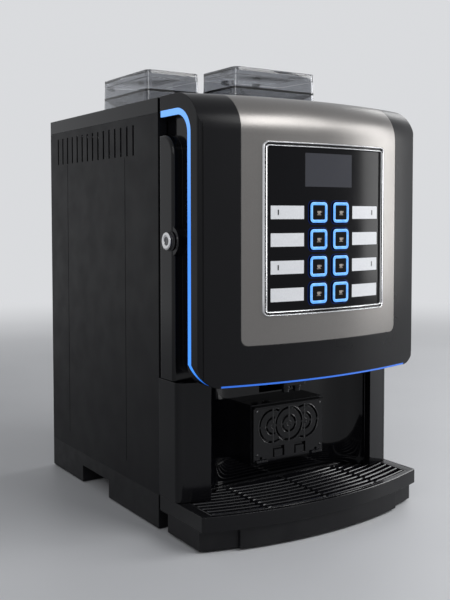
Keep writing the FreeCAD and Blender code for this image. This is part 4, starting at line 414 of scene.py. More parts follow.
# Green solder mask over faint copper tracks
board = material("circuit_board", (0.02, 0.16, 0.06), 0.35)
tracks = add_node(board, "ShaderNodeTexBrick", Scale=60, Mortar_Size=0.08)
link(board, place_of(board), tracks.inputs["Vector"])
vary_colour(board, tracks.outputs["Fac"], (0.015, 0.13, 0.05), (0.05, 0.26, 0.10))
relief(board, tracks.outputs["Fac"], 0.00004, 0.5)
finish("brass", (0.60, 0.42, 0.18), 0.3, smears=(60, 3, 0.24, 0.38), grain=(900, 2, 0.00004, 0.5),
       edge=0.0006, tint=(90, 4, (0.52, 0.36, 0.15), (0.66, 0.47, 0.21)), metallic=1.0)
# Oiled dark steel of small parts
finish("dark_steel", (0.09, 0.09, 0.095), 0.35, smears=(300, 2, 0.28, 0.42),
       tint=(400, 3, (0.07, 0.07, 0.075), (0.12, 0.12, 0.125)), metallic=0.9)
# Plain technical plastic with a fine grain
for name, shade, roughness in (("grey_moulding", (0.16, 0.16, 0.17), 0.48),
                               ("white_moulding", (0.70, 0.70, 0.67), 0.42)):
    finish(name, shade, roughness, smears=(50, 3, roughness - 0.06, roughness + 0.06),
           grain=(1500, 3, 0.00005, 0.6), edge=0.0006,
           tint=(25, 4, tuple(value * 0.88 for value in shade), shade))

# %% Put the finishes on the machine
SPECIAL = {"door_shell": "satin_black", "display_screen": "display", "station_liner": "black_mirror",
           "door_inner_shell": "black_gloss"}
slots = {entry["node"]: entry["material_slot"] for entry in frame["record"]["subparts"]}
for name, node in nodes.items():
    coat = coats[SPECIAL.get(name, slots[name])]
    if not node.material_slots:
        node.data.materials.append(coat)
    for holder in node.material_slots:
        holder.material = coat
print("finishes", len(coats))

# %% [markdown]
# ## Bezel
# The bezel is two polished ridges with a dark groove between them, which draws a double line round
# the panel. Its loops get extra points along their straight runs, so that they follow the door's bow.

# %% Bezel
BEZEL_RUNS = 16
BEZEL_CORNER = 0.009
BEZEL_SUNK = 0.0005
OUTER_RIDGE = (0, 0.0034)
GROOVE = (0.0030, 0.0056)
INNER_RIDGE = (0.0052, 0.008)
bezel_low, bezel_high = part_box("panel_bezel")
bezel_z = (bezel_low.z + bezel_high.z) / 2


def bezel_loop(inset):
    """The bezel's outline moved inwards, divided along its straight runs."""
    corners = rounded_loop(bezel_high.x - inset, bezel_high.z - bezel_z - inset,
                           max(BEZEL_CORNER - inset, 0.0015))
    points = []
    for index, (x, z) in enumerate(corners):
        points.append((x, z + bezel_z))
        next_x, next_z = corners[(index + 1) % len(corners)]
        if index % 7 == 6:
            points += [(x + (next_x - x) * run / BEZEL_RUNS, z + (next_z - z) * run / BEZEL_RUNS + bezel_z)
                       for run in range(1, BEZEL_RUNS)]
    return points


def bezel_part(name, insets, height, coat):
    return bowed_ring(name, *(bezel_loop(inset) for inset in insets), -BEZEL_SUNK, height, coat)


outer_ridge = bezel_part("bezel_outer_ridge", OUTER_RIDGE, 0.0034, "chrome")
inner_ridge = bezel_part("bezel_inner_ridge", INNER_RIDGE, 0.0026, "chrome")
groove = bezel_part("bezel_groove", GROOVE, 0.0008, "black_gloss")
for part, slot in ((outer_ridge, "chrome"), (inner_ridge, "chrome"), (groove, "black_gloss")):
    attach(part, "door")
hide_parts("panel_bezel")
print("bezel", round(bezel_high.x * 2, 4), "by", round(bezel_high.z - bezel_low.z, 4))

# %% [markdown]
# ## Trim on the front panel
# Each key carries a glowing surround and a small cup sign, and four label strips have a tick.

# %% Keys
KEY_COUNT = 8
RING_WIDTH = 0.0042
RING_INSET = 0.0005
RING_HEIGHT = 0.0006
KEY_CORNER = 0.006
KEY_HALF = (0.01575, 0.01525)
SIGN_SUNK, SIGN_PROUD = 0.0001, 0.00015
CUP_HALF, CUP_RIM = 0.0031, 0.0021
HALO_START, HALO_REACH = 0.0006, 0.0028
PANEL_PROUD = BOW_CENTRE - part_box("control_panel")[0].y - BOW_RADIUS


def key_face(name):
    """Middle of a key in the front view, and how far its face stands proud."""
    low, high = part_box(name)
    middle_x, middle_z = (low.x + high.x) / 2, (low.z + high.z) / 2
    return middle_x, middle_z, math.hypot(middle_x, BOW_CENTRE - low.y) - BOW_RADIUS


def shifted(outline, x, z):
    return [(u + x, v + z) for u, v in outline]


def key_outline(x, z, grow):
    """A key's outline, grown all round."""
    corner = max(KEY_CORNER + grow, 0.0018)
    return shifted(rounded_loop(KEY_HALF[0] + grow, KEY_HALF[1] + grow, corner), x, z)


def cup_outline():
    """A small cup from the side: wide at the rim and rounded towards the foot."""
    left = [(-0.0008 + 0.0022 * math.cos(a), 0.0002 + 0.0025 * math.sin(a))
            for a in (math.radians(d) for d in (180, 205, 230, 250, 270))]
    right = [(-u, v) for u, v in reversed(left)]
    return [(-CUP_HALF, CUP_RIM)] + left + right + [(CUP_HALF, CUP_RIM)]


def oval(x, z, half_width, half_height):
    """Points round an oval."""
    return [(x + half_width * math.cos(turn), z + half_height * math.sin(turn)) for turn in turns(16)]


def handle_ring(x, z):
    """The cup's ear as outer and inner loops."""
    return [oval(x + 0.0040, z + 0.0007, *half) for half in ((0.0014, 0.0012), (0.0008, 0.0006))]


def dress_key(number):
    """Glowing ring, cup sign and halo of one key."""
    name = f"key_{number}"
    body = f"pushbutton_{number}"
    x, z, proud = key_face(name)
    edges = (key_outline(x, z, -RING_INSET), key_outline(x, z, -RING_INSET - RING_WIDTH))
    ring = bowed_ring(f"{name}_ring", *edges, proud - 0.0002, proud + RING_HEIGHT, "blue_ring")
    cup = bowed_plate(f"{name}_cup", shifted(cup_outline(), x, z),
                      proud - SIGN_SUNK, proud + SIGN_PROUD, "print_pale")
    ear = bowed_ring(f"{name}_ear", *handle_ring(x, z), proud - SIGN_SUNK, proud + 0.00012, "print_pale")
    saucer = bowed_plate(f"{name}_saucer",
                         shifted(rounded_loop(0.0038, 0.0004, 0.00039, 3), x, z - 0.0034),
                         proud - SIGN_SUNK, proud + SIGN_PROUD, "print_pale")
    for part in (ring, cup, ear, saucer):
        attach(part, body)
    edges = (key_outline(x, z, HALO_REACH), key_outline(x, z, HALO_START))
    halo = bowed_ring(f"{name}_halo", *edges, PANEL_PROUD - 0.0002, PANEL_PROUD + 0.0001, "blue_halo")
    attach(halo, "door")


for number in range(1, KEY_COUNT + 1):
    dress_key(number)
print("keys dressed", KEY_COUNT)

# %% Ticks on the label strips
TICK_INSET = 0.012
TICK_WIDTH = 0.0020
TICK_HEIGHT = 0.0075
TICK_ROWS = (0.474, 0.396)
label_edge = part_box("label_strips")[1].x
for side in (-1, 1):
    for row, height in enumerate(TICK_ROWS):
        x = side * (label_edge - TICK_INSET)
        tick = bowed_plate(f"label_tick_{'left' if side < 0 else 'right'}_{row + 1}",
                           shifted(rounded_loop(TICK_WIDTH / 2, TICK_HEIGHT / 2, 0.0005, 3), x, height),
                           -0.0008, -0.0004, "print_black")
        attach(tick, "door")

# %% [markdown]
# ## Lock
# The lock's chrome head stands out of a boss on the door's edge, with a dark key plug in its
# middle. Both are turned parts, so a profile of a few points is spun about the lock's axis.
# The plug has to be open over the key slot, so its inner loop follows the slot instead.


# %% Turned pieces
def spun(origin, direction, reach, radius, turn):
    """A point at an angle about a direction, at a distance along it."""
    across = direction.orthogonal().normalized()
    beside = direction.cross(across)
    return origin + direction * reach + (across * math.cos(turn) + beside * math.sin(turn)) * radius


def circle_round(origin, direction, reach, radius, steps):
    """A circle of points about a direction, at a distance along it."""
    return [spun(origin, direction, reach, radius, turn) for turn in turns(steps)]


def turned(name, origin, direction, profile, coat, steps=48, endless=True):
    """A turned piece from a profile of distances along an axis and radii."""
    loops = [circle_round(origin, direction, reach, radius, steps) for reach, radius in profile]
    return add_mesh(name, *stacked_loops(loops, endless), coat)


def crowned(outer, inner, base, height, steps=6):
    """The profile of a ring with a round crown."""
    middle, half = (outer + inner) / 2, (outer - inner) / 2
    half_turn = (math.pi * step / steps for step in range(steps + 1))
    return [(base + height * math.sin(turn), middle + half * math.cos(turn)) for turn in half_turn]


# %% Lock
LOCK_STEPS = 48
PLUG_RADIUS = 0.0063
PLUG_DEPTH = 0.0009
SLOT_HALF = (0.0010, 0.0038)
lock_low, lock_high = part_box("lock_barrel")
lock_radius = (lock_high.y - lock_low.y) / 2
lock_face = Vector((lock_low.x, (lock_low.y + lock_high.y) / 2, lock_high.z - lock_radius))
outward = Vector((-1, 0, 0))
ring = turned("lock_ring", lock_face, outward,
              crowned(lock_radius - 0.0001, PLUG_RADIUS + 0.0006, -0.0003, 0.0011), "chrome")
seat = turned("lock_seat", lock_face, outward,
              crowned(lock_radius + 0.0022, lock_radius - 0.0002, -0.0062, 0.0012), "rubber")


def slot_loop(reach, grow):
    """Points round the key slot, one for each point of the plug's edge."""
    points = []
    for turn in turns(LOCK_STEPS):
        y, z = math.cos(turn), math.sin(turn)
        scale = min((SLOT_HALF[0] + grow) / max(abs(y), 1e-6), (SLOT_HALF[1] + grow) / max(abs(z), 1e-6))
        points.append(lock_face + outward * reach + Vector((0, y * scale, z * scale)))
    return points


def plug_loop(reach, radius):
    return [lock_face + outward * reach + Vector((0, radius * math.cos(turn), radius * math.sin(turn)))
            for turn in turns(LOCK_STEPS)]


plug = add_mesh(
    "lock_plug",
    *stacked_loops([
        plug_loop(-PLUG_DEPTH, PLUG_RADIUS), plug_loop(0.0004 - PLUG_DEPTH, PLUG_RADIUS - 0.0003),
        slot_loop(0.0004 - PLUG_DEPTH, 0.0002), slot_loop(-PLUG_DEPTH, 0),
    ], endless=True),
    "dark_steel",
)
for part in (ring, plug):
    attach(part, "lock")
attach(seat, "door")
print("lock head radius", round(lock_radius, 4))

# %% [markdown]
# ## Screws
# Sheet panels are held by pan-head screws. One head is a dome that ends in a cross: the last
# loops have as many points as the round ones, but follow the outline of the recess.

# %% Screws
SCREW_STEPS = 24
SCREW_DOME = ((-0.0001, 1.0), (0.25, 1.0), (0.48, 0.86), (0.6, 0.62))
CROSS_REACHES = (1.0, 0.92, 0.42, 0.33, 0.42, 0.92)


def cross_loop(origin, direction, reach, size):
    """The outline of a cross recess."""
    return [spun(origin, direction, reach, size * CROSS_REACHES[step % len(CROSS_REACHES)], turn)
            for step, turn in enumerate(turns(SCREW_STEPS))]


def screws(name, places, direction, radius, body, coat="plated_steel"):
    """A row of pan-head screws in one piece."""
    heads = []
    for place in places:
        origin = Vector(place)
        loops = [circle_round(origin, direction, reach * radius if reach > 0 else reach, scale * radius,
                              SCREW_STEPS) for reach, scale in SCREW_DOME]
        loops.append(cross_loop(origin, direction, 0.6 * radius, 0.58 * radius))
        loops.append(cross_loop(origin, direction, 0.28 * radius, 0.45 * radius))
        heads.append(stacked_loops(loops))
    made = joined(name, heads, coat)
    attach(made, body)
    print(name, len(places))


backward = Vector((0, 1, 0))
rear_low, rear_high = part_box("rear_panel")
EDGE_SET = 0.008
screws(
    "rear_screws",
    [(x, rear_high.y, z)
     for x in (rear_low.x + EDGE_SET, rear_high.x - EDGE_SET)
     for z in (rear_low.z + 0.02, 0.2, 0.34, 0.48, rear_high.z - 0.02)]
    + [(x, rear_high.y, rear_high.z - EDGE_SET) for x in (-0.07, 0.07)],
    backward, 0.0034, "cabinet",
)
fan_low, fan_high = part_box("fan_frame")
FAN_PITCH = 0.041
fan_x, fan_z = (fan_low.x + fan_high.x) / 2, (fan_low.z + fan_high.z) / 2
screws("fan_screws",
       [(fan_x + u * FAN_PITCH, rear_high.y, fan_z + v * FAN_PITCH) for u in (-1, 1) for v in (-1, 1)],
       backward, 0.0036, "cabinet", "dark_steel")
socket_low, socket_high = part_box("power_inlet")
socket_x, socket_z = (socket_low.x + socket_high.x) / 2, (socket_low.z + socket_high.z) / 2
screws("socket_screws", [(socket_x + u * 0.0195, socket_high.y, socket_z) for u in (-1, 1)],
       backward, 0.0026, "cabinet")

# %% [markdown]
# ## Water inlet and mains inlet
# The inlet's 3/4 inch thread is a skin wound along its axis: the radius rises and falls once for
# every pitch, and a full turn moves the pattern by one pitch. The mains inlet has three flat pins.

# %% Inlet thread
THREAD_PITCH = 0.0018
THREAD_DEPTH = 0.0008
THREAD_START = 0.0008
THREAD_STEPS = 48
RINGS_PER_PITCH = 6
inlet_mount = next(mount for mount in frame["record"]["mounts"] if mount["name"] == "water_inlet")
inlet_axis = Vector(inlet_mount["axis"])
inlet_radius = inlet_mount["dims"]["r_mm"] / 1000
inlet_length = inlet_mount["dims"]["length_mm"] / 1000
inlet_tip = Vector((inlet_mount["pos_m"][0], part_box("water_inlet")[1].y, inlet_mount["pos_m"][2]))


def thread_loop(reach, height):
    """One ring of the thread: its radius rises and falls once in a turn."""
    points = []
    for step, turn in enumerate(turns(THREAD_STEPS)):
        phase = (reach / THREAD_PITCH + step / THREAD_STEPS) % 1
        radius = inlet_radius - 0.0002 + height * (1 - abs(2 * phase - 1))
        points.append(spun(inlet_tip, inlet_axis, reach, radius, turn))
    return points


ring_count = int(inlet_length * 0.85 / THREAD_PITCH) * RINGS_PER_PITCH
rings = []
for number in range(ring_count + 1):
    fade = min(1, number / RINGS_PER_PITCH, (ring_count - number) / RINGS_PER_PITCH)
    rings.append(thread_loop(-THREAD_START - number * THREAD_PITCH / RINGS_PER_PITCH, THREAD_DEPTH * fade))
bore = [circle_round(inlet_tip, inlet_axis, reach, inlet_radius - 0.0009, THREAD_STEPS)
        for reach in (-THREAD_START - ring_count * THREAD_PITCH / RINGS_PER_PITCH, -THREAD_START)]
thread = add_mesh("inlet_thread", *stacked_loops(rings + bore, endless=True), "brass")
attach(thread, "cabinet")
print("thread rings", ring_count)


# %% Mains inlet pins
def block(name, low, high, coat, width):
    """A small rectangular piece with rounded edges."""
    (x0, y0, z0), (x1, y1, z1) = low, high
    skin = upright(((x0, y0), (x1, y0), (x1, y1), (x0, y1)), z0, z1)
    return round_edges(add_mesh(name, *skin, coat, smooth=False), width)


PIN_HALF = (0.001, 0.002)
for name, x, z in (("left", -0.007, -0.002), ("right", 0.007, -0.002), ("earth", 0.0, 0.003)):
    pin = block(f"mains_pin_{name}",
                (socket_x + x - PIN_HALF[0], socket_high.y - 0.0185, socket_z + z - PIN_HALF[1]),
                (socket_x + x + PIN_HALF[0], socket_high.y - 0.003, socket_z + z + PIN_HALF[1]),
                "plated_steel", 0.0006)
    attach(pin, "cabinet")

# %% [markdown]
# ## Board parts
# The control board already carries its large blocks. Chips, a row of terminals and a few tall
# capacitors make it read as a board: chips are bevelled blocks with legs, capacitors are turned.

# %% Board parts
BOARD_DEPTH = 0.008
BOARD_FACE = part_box("control_board")[0].y + BOARD_DEPTH
CHIPS = ((-0.082, 0.318, 0.009, 0.005, 10), (-0.05, 0.335, 0.006, 0.0035, 8),
         (-0.135, 0.362, 0.007, 0.0035, 8))
CAPACITORS = ((-0.112, 0.365, 0.004, 0.011), (-0.112, 0.378, 0.004, 0.011), (-0.05, 0.305, 0.005, 0.013),
              (-0.165, 0.405, 0.004, 0.010))


def chip(name, x, z, half_x, half_z, legs):
    """A chip with two rows of legs."""
    body = block(name, (x - half_x, BOARD_FACE, z - half_z), (x + half_x, BOARD_FACE + 0.0024, z + half_z),
                 "dark_moulding", 0.0003)
    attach(body, "cabinet")
    rows = []
    for side in (-1, 1):
        for leg in range(legs):
            middle = x - half_x + (leg + 0.5) * 2 * half_x / legs
            reach = z + side * (half_z + 0.001)
            corners = [(middle + u, reach + w) for u, w in
                       ((-0.0002, -0.001), (-0.0002, 0.001), (0.0002, 0.001), (0.0002, -0.001))]
            rows.append(stacked_loops([[Vector((u, y, w)) for u, w in corners]
                                       for y in (BOARD_FACE, BOARD_FACE + 0.001)]))
    rows = joined(f"{name}_legs", rows, "plated_steel", smooth=False)
    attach(rows, "cabinet")


for number, values in enumerate(CHIPS, 1):
    chip(f"board_chip_{number}", *values)
for number, (x, z, radius, height) in enumerate(CAPACITORS, 1):
    can = turned(f"board_capacitor_{number}", Vector((x, BOARD_FACE, z)), backward,
                 [(0, radius), (height * 0.08, radius), (height * 0.12, radius * 0.93),
                  (height * 0.16, radius), (height * 0.95, radius), (height, radius * 0.85)],
                 "dark_steel", steps=24, endless=False)
    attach(can, "cabinet")
terminals = block("board_terminals", (-0.105, BOARD_FACE, 0.286), (-0.04, BOARD_FACE + 0.009, 0.294),
                  "white_moulding", 0.0005)
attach(terminals, "cabinet")
screws("board_screws",
       [(x, BOARD_FACE, z) for x in (-0.17, -0.04) for z in (0.29, 0.42)], backward, 0.003, "cabinet")

# %% [markdown]
# ## Bean hoppers
# A real hopper is one clear moulding of even wall: a skirt that flares a little towards its foot,
# a funnel inside it and a throat. Rays bend at every wall, so the mesh has to be a closed skin
# with a true inner and outer side. Each level is a rounded rectangle with the same number of
# points, which lets the funnel turn into the round throat.

# %% Hopper bodies
HOPPER_LONG, HOPPER_SHORT = 0.174, 0.106
HOPPER_WALL = 0.0022
HOPPER_CORNER = 0.010
HOPPER_FLARE = 0.0015
RIM_SOFT = 0.0006
HOPPER_FOOT = 0.6423
HOPPER_RIM = 0.7076
FUNNEL_TOP = 0.688
THROAT_RADIUS = 0.019
THROAT_LOW = 0.6165
CORNER_STEPS = 8
LID_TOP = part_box("hopper_lid_front")[1].z


def level(middle, half, corner, z):
    """A rounded rectangle lying at a height."""
    outline = rounded_loop(half[0], half[1], min(corner, *half), CORNER_STEPS)
    return [Vector((middle[0] + u, middle[1] + v, z)) for u, v in outline]


def grown(half, amount):
    return half[0] + amount, half[1] + amount


def hopper_skin(middle, half):
    """Loops up the outside, over the rim, down the funnel and back up under it."""
    throat = (THROAT_RADIUS, THROAT_RADIUS)
    outer_throat = grown(throat, HOPPER_WALL)
    inner, inner_corner = grown(half, -HOPPER_WALL), HOPPER_CORNER - HOPPER_WALL
    sections = (
        (grown(half, HOPPER_FLARE), HOPPER_CORNER, HOPPER_FOOT),
        (half, HOPPER_CORNER, HOPPER_RIM - RIM_SOFT),
        (grown(half, -RIM_SOFT), HOPPER_CORNER, HOPPER_RIM),
        (grown(half, RIM_SOFT - HOPPER_WALL), HOPPER_CORNER, HOPPER_RIM),
        (inner, inner_corner, HOPPER_RIM - RIM_SOFT),
        (inner, inner_corner, FUNNEL_TOP),
        (throat, THROAT_RADIUS, HOPPER_FOOT + 0.006),
        (throat, THROAT_RADIUS, THROAT_LOW),
        (outer_throat, outer_throat[0], THROAT_LOW),
        (outer_throat, outer_throat[0], HOPPER_FOOT + 0.003),
        (inner, inner_corner, FUNNEL_TOP - 0.004),
        (grown(half, HOPPER_FLARE - HOPPER_WALL), inner_corner, HOPPER_FOOT),
    )
    return [level(middle, *section) for section in sections]


def lid_skin(middle, half):
    """Loops from the hollow underside over the outer edge to the recess on top."""
    low = HOPPER_RIM + 0.0007
    sections = ((-0.0042, -0.0042, LID_TOP - 0.0052), (-0.0042, -0.0042, low), (-0.0004, 0, low),
                (0, 0, low + 0.0004), (0, 0, LID_TOP - 0.0012), (-0.0004, 0, LID_TOP - 0.0003),
                (-0.0012, -0.0008, LID_TOP), (-0.0045, -0.0040, LID_TOP),
                (-0.0055, -0.0048, LID_TOP - 0.0026), (-0.0064, -0.0056, LID_TOP - 0.0030))
    return [level(middle, grown(half, grow), HOPPER_CORNER + corner, z) for grow, corner, z in sections]


# %% Lid hinges
sideways = Vector((1, 0, 0))
HINGE_SPREAD = 0.030
BARREL_RADIUS = 0.0036
BARREL_LENGTH = 0.006
LID_PIN_RADIUS = 0.0017


def barrel(x, axis, length, radius):
    """A short round bar along X with softened ends."""
    soft = radius * 0.15
    profile = ((0, radius - soft), (soft, radius), (length - soft, radius), (length, radius - soft))
    start = Vector((x - length / 2, *axis))
    return stacked_loops([circle_round(start, sideways, reach, size, 24) for reach, size in profile])


def web(x, width, wall_y, axis, low, high):
    """The flat web that joins a barrel to its wall."""
    left, right = x - width / 2, x + width / 2
    outline = ((left, wall_y), (right, wall_y), (right, axis[0]), (left, axis[0]))
    return upright(outline, low, high)


for place, half in (("front", (HOPPER_LONG / 2, HOPPER_SHORT / 2)),
                    ("rear", (HOPPER_SHORT / 2, HOPPER_LONG / 2))):
    low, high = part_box(f"hopper_{place}")
    middle = ((low.x + high.x) / 2, low.y + half[1])
    hinge = next(joint for joint in frame["joints"] if joint["name"] == f"{place}_lid_hinge")
    axis = tuple(hinge["pos_m"][1:])
    rear = middle[1] + half[1]
    spots = [(middle[0] + turn * HINGE_SPREAD, turn) for turn in (-1, 1)]
    lug_shells, knuckle_shells = [], []
    for x, turn in spots:
        beside = x + turn * (BARREL_LENGTH + 0.0004)
        lug_shells += [barrel(x, axis, BARREL_LENGTH, BARREL_RADIUS),
                       web(x, BARREL_LENGTH, rear - 0.001, axis, axis[1] - 0.0052, axis[1] - 0.0004)]
        knuckle_shells += [barrel(beside, axis, BARREL_LENGTH, BARREL_RADIUS),
                           web(beside, BARREL_LENGTH, rear - 0.003, axis, axis[1] + 0.0008,
                               axis[1] + 0.0034),
                           barrel(x + turn * 0.0032, axis, 2 * BARREL_LENGTH, LID_PIN_RADIUS)]
    skirt = joined(f"hopper_body_{place}", [stacked_loops(hopper_skin(middle, half), endless=True)],
                   "smoked_clear")
    lugs = joined(f"hopper_lugs_{place}", lug_shells, "smoked_clear")
    lid = joined(f"hopper_cover_{place}", [stacked_loops(lid_skin(middle, half))], "smoked_clear")
    knuckles = joined(f"hopper_knuckles_{place}", knuckle_shells, "smoked_clear")
    for part, body in ((skirt, "cabinet"), (lugs, "cabinet"), (lid, f"{place}_lid"),
                       (knuckles, f"{place}_lid")):
        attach(part, body)
    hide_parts(f"hopper_{place}")
    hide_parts(f"hopper_lid_{place}")
    print("hopper", place, "middle", [round(value, 4) for value in middle])

# %% [markdown]
# ## Drip grille
# The grille is a thin moulding: a frame with the tray's bowed front, three ribs from front to back,
# and slats that follow the same bow. Each slat is crowned, and the thin line of light along its
# crown is what makes the grille readable, so a slat is a rounded section carried along an arc.

# %% Grille values
grille_low, grille_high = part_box("drip_grille")
GRILLE_BOW = 0.6106
GRILLE_FRAME = 0.0035
GRILLE_SOFT = 0.0006
SLAT_PITCH = 0.01255
FIRST_SLAT = 0.0086
SLAT_HALF = 0.0022
RIB_PLACES = (-0.105, 0.0, 0.105)
RIB_HALF = 0.0018
RIB_DROP = 0.0009
SLAT_SECTION = ((-1, 0), (-1, 0.72), (-0.8, 0.88), (-0.42, 0.97), (0, 1), (0.42, 0.97), (0.8, 0.88),
                (1, 0.72), (1, 0))
grille_depth = grille_high.z - grille_low.z


def bow_at(apex, radius, x):
    """Y of a bow at a distance from the middle."""
    return apex + radius - math.sqrt(radius * radius - x * x)


def grille_outline(inset, z, steps=24):
    """The grille's outline, moved inwards: its bowed front and its straight rear."""
    half, radius = grille_high.x - inset, GRILLE_BOW - inset
    across = [half * (2 * step / steps - 1) for step in range(steps + 1)]
    front = [Vector((x, bow_at(grille_low.y + inset, radius, x), z)) for x in across]
    return front + [Vector((x, grille_high.y - inset, z)) for x in reversed(across)]


def slat_bar(apex, start, end):
    """A crowned bar along the bow. Its crown comes down where it meets a rib or the frame."""
    length = end - start
    reaches = [0, 0.0012, 0.003] + [length * step / 12 for step in range(1, 12)]
    reaches += [length - 0.003, length - 0.0012, length]
    loops = []
    for reach in sorted(reaches):
        x = start + reach
        near = min(reach, length - reach)
        crown = 0.86 + 0.14 * min(1, near / 0.003)
        loops.append([Vector((x, bow_at(apex, GRILLE_BOW, x) + u * SLAT_HALF,
                              grille_low.z + grille_depth * (v * crown if v else 0)))
                      for u, v in SLAT_SECTION])
    return stacked_loops(loops)


# %% Build the grille
soft_z = grille_high.z - GRILLE_SOFT
FRAME_SECTIONS = ((0, grille_low.z), (0, soft_z), (GRILLE_SOFT, grille_high.z),
                  (GRILLE_FRAME - GRILLE_SOFT, grille_high.z), (GRILLE_FRAME, soft_z),
                  (GRILLE_FRAME, grille_low.z))
shells = [stacked_loops([grille_outline(*section) for section in FRAME_SECTIONS], endless=True)]
rear_y = grille_high.y - GRILLE_FRAME
side_x = grille_high.x - GRILLE_FRAME
for x in RIB_PLACES:
    front_y = bow_at(grille_low.y + 0.002, GRILLE_BOW, x)
    outline = ((x - RIB_HALF, front_y), (x + RIB_HALF, front_y),
               (x + RIB_HALF, rear_y + 0.001), (x - RIB_HALF, rear_y + 0.001))
    shells.append(upright(outline, grille_low.z, grille_high.z - RIB_DROP))
stops = [-side_x] + [x + side * RIB_HALF for x in RIB_PLACES for side in (-1, 1)] + [side_x]
apex = grille_low.y + FIRST_SLAT
slat_count = 0
while apex < rear_y - SLAT_HALF:
    drop = GRILLE_BOW - (rear_y - SLAT_HALF - apex)
    reach = min(side_x, math.sqrt(GRILLE_BOW * GRILLE_BOW - drop * drop))
    for start, end in zip(stops[::2], stops[1::2]):
        start, end = max(start, -reach) - 0.0003, min(end, reach) + 0.0003
        if end - start > 0.012:
            shells.append(slat_bar(apex, start, end))
    apex += SLAT_PITCH
    slat_count += 1
grille = joined("grille", shells, "rib_gloss")
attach(grille, "tray")
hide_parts("drip_grille")
print("slats", slat_count)

# %% [markdown]
# ## Tray lip
# A low bead runs round the tray's upper edge. It is almost flat, but its crown catches a long
# highlight on the bowed front, just as a rounded moulding does.

# %% Tray lip
TRAY_BOW = 0.618
TRAY_CORNER = 0.005
LIP_WIDTH = 0.0032
LIP_HEIGHT = 0.0004
tray_box_low, tray_box_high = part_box("drip_tray")
LIP_SECTION = ((0.0, -0.5), (0.04, 0.35), (0.18, 0.8), (0.5, 1.0), (0.82, 0.8), (0.96, 0.35), (1.0, -0.5))


def lip_path():
    """Points round the tray's open edge, each with its outward direction."""
    edge = tray_box_high.x - TRAY_CORNER
    corner_y = bow_at(tray_box_low.y, TRAY_BOW, edge)
    path = []
    for step in range(33):
        x = edge * (2 * step / 32 - 1)
        path.append((Vector((x, bow_at(tray_box_low.y, TRAY_BOW, x), 0)),
                     Vector((x / TRAY_BOW, -math.sqrt(1 - (x / TRAY_BOW) ** 2), 0))))
    for step in range(1, 7):
        turn = math.asin(edge / TRAY_BOW) + (math.pi / 2 - math.asin(edge / TRAY_BOW)) * step / 6
        outwards = Vector((math.sin(turn), -math.cos(turn), 0))
        path.append((Vector((edge, corner_y + TRAY_CORNER, 0)) + outwards * TRAY_CORNER, outwards))
    path.append((Vector((tray_box_high.x, -0.215, 0)), Vector((1, 0, 0))))
    mirrored = [(Vector((-point.x, point.y, 0)), Vector((-way.x, way.y, 0))) for point, way in path[33:]]
    return mirrored[::-1] + path


lip_loops = [
    [point - outwards * LIP_WIDTH * across + Vector((0, 0, tray_box_high.z + LIP_HEIGHT * rise))
     for across, rise in LIP_SECTION]
    for point, outwards in lip_path()
]
lip = add_mesh("tray_lip", *stacked_loops(lip_loops), "rib_gloss")
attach(lip, "tray")
print("lip points", len(lip_loops))

# %% [markdown]
# ## Shelf ridges
# The cup shelf's pattern is three overlapping sets of two rings and a cross, with a small ring in
# the middle of each. The slots are in the solid. Fine ridges along them carry the light.

# %% Shelf ridges
shelf_low, shelf_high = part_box("cup_shelf")
SHELF_FACE = shelf_low.y + 0.004
RING_MIDDLE = 0.144
RING_SPREAD = 0.031
RIDGE_RADII = (0.0277, 0.0147, 0.0042)
RIDGE_HALF = 0.0006
RIDGE_HEIGHT = 0.0007
MIDDLE_REACH = 0.0298


def ridge(points, closed=False):
    """A half-round ridge along points on the shelf's face."""
    loops = []
    count = len(points)
    for index, (x, z) in enumerate(points):
        if closed:
            before, after = points[index - 1], points[(index + 1) % count]
        else:
            before, after = points[max(index - 1, 0)], points[min(index + 1, count - 1)]
        along = Vector((after[0] - before[0], 0, after[1] - before[1])).normalized()
        across = Vector((along.z, 0, -along.x))
        loops.append([Vector((x, SHELF_FACE + 0.0002, z)) + across * RIDGE_HALF * math.cos(turn)
                      + Vector((0, -RIDGE_HEIGHT * math.sin(turn), 0))
                      for turn in (math.pi * step / 6 for step in range(7))])
    return stacked_loops(loops, endless=closed)


def ring_ridges(middle_x, radius, clear):
    """The visible arcs of one ring: a side ring stops where the middle one begins."""
    steps = 48
    points = [(middle_x + radius * math.cos(turn), RING_MIDDLE + radius * math.sin(turn))
              for turn in turns(steps)]
    if not clear:
        return [ridge(points, closed=True)]
    seen = [math.hypot(x, z - RING_MIDDLE) > clear for x, z in points]
    first = next(step for step in range(steps) if seen[step] and not seen[step - 1])
    arc = []
    for step in range(steps):
        if not seen[(first + step) % steps]:
            break
        arc.append(points[(first + step) % steps])
    return [ridge(arc)]


ridges = []
for middle_x in (0, -RING_SPREAD, RING_SPREAD):
    clear = MIDDLE_REACH if middle_x else 0
    for radius in RIDGE_RADII:
        if not clear or abs(middle_x) + radius > clear + 0.004:
            ridges += ring_ridges(middle_x, radius, clear)
    for u, v in ((1, 0), (-1, 0), (0, 1), (0, -1)):
        start, end = RIDGE_RADII[2], RIDGE_RADII[0]
        line = [(middle_x + u * (start + (end - start) * step / 12),
                 RING_MIDDLE + v * (start + (end - start) * step / 12)) for step in range(13)]
        line = [point for point in line if not clear or math.hypot(point[0], point[1] - RING_MIDDLE) > clear]
        if len(line) > 2:
            ridges.append(ridge(line))
pattern = joined("shelf_ridges", ridges, "rib_gloss")
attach(pattern, "shelf")
rivets = []
for x in (shelf_low.x + 0.006, shelf_high.x - 0.006):
    for z in (shelf_low.z + 0.015, shelf_high.z - 0.007):
        base = Vector((x, SHELF_FACE + 0.0002, z))
        rivets.append(stacked_loops([circle_round(base, -backward, reach, radius, 16) for reach, radius in
                                     ((0, 0.0020), (0.0007, 0.0018), (0.0011, 0.0010), (0.0012, 0.0003))]))
rivets = joined("shelf_rivets", rivets, "rib_gloss")
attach(rivets, "shelf")
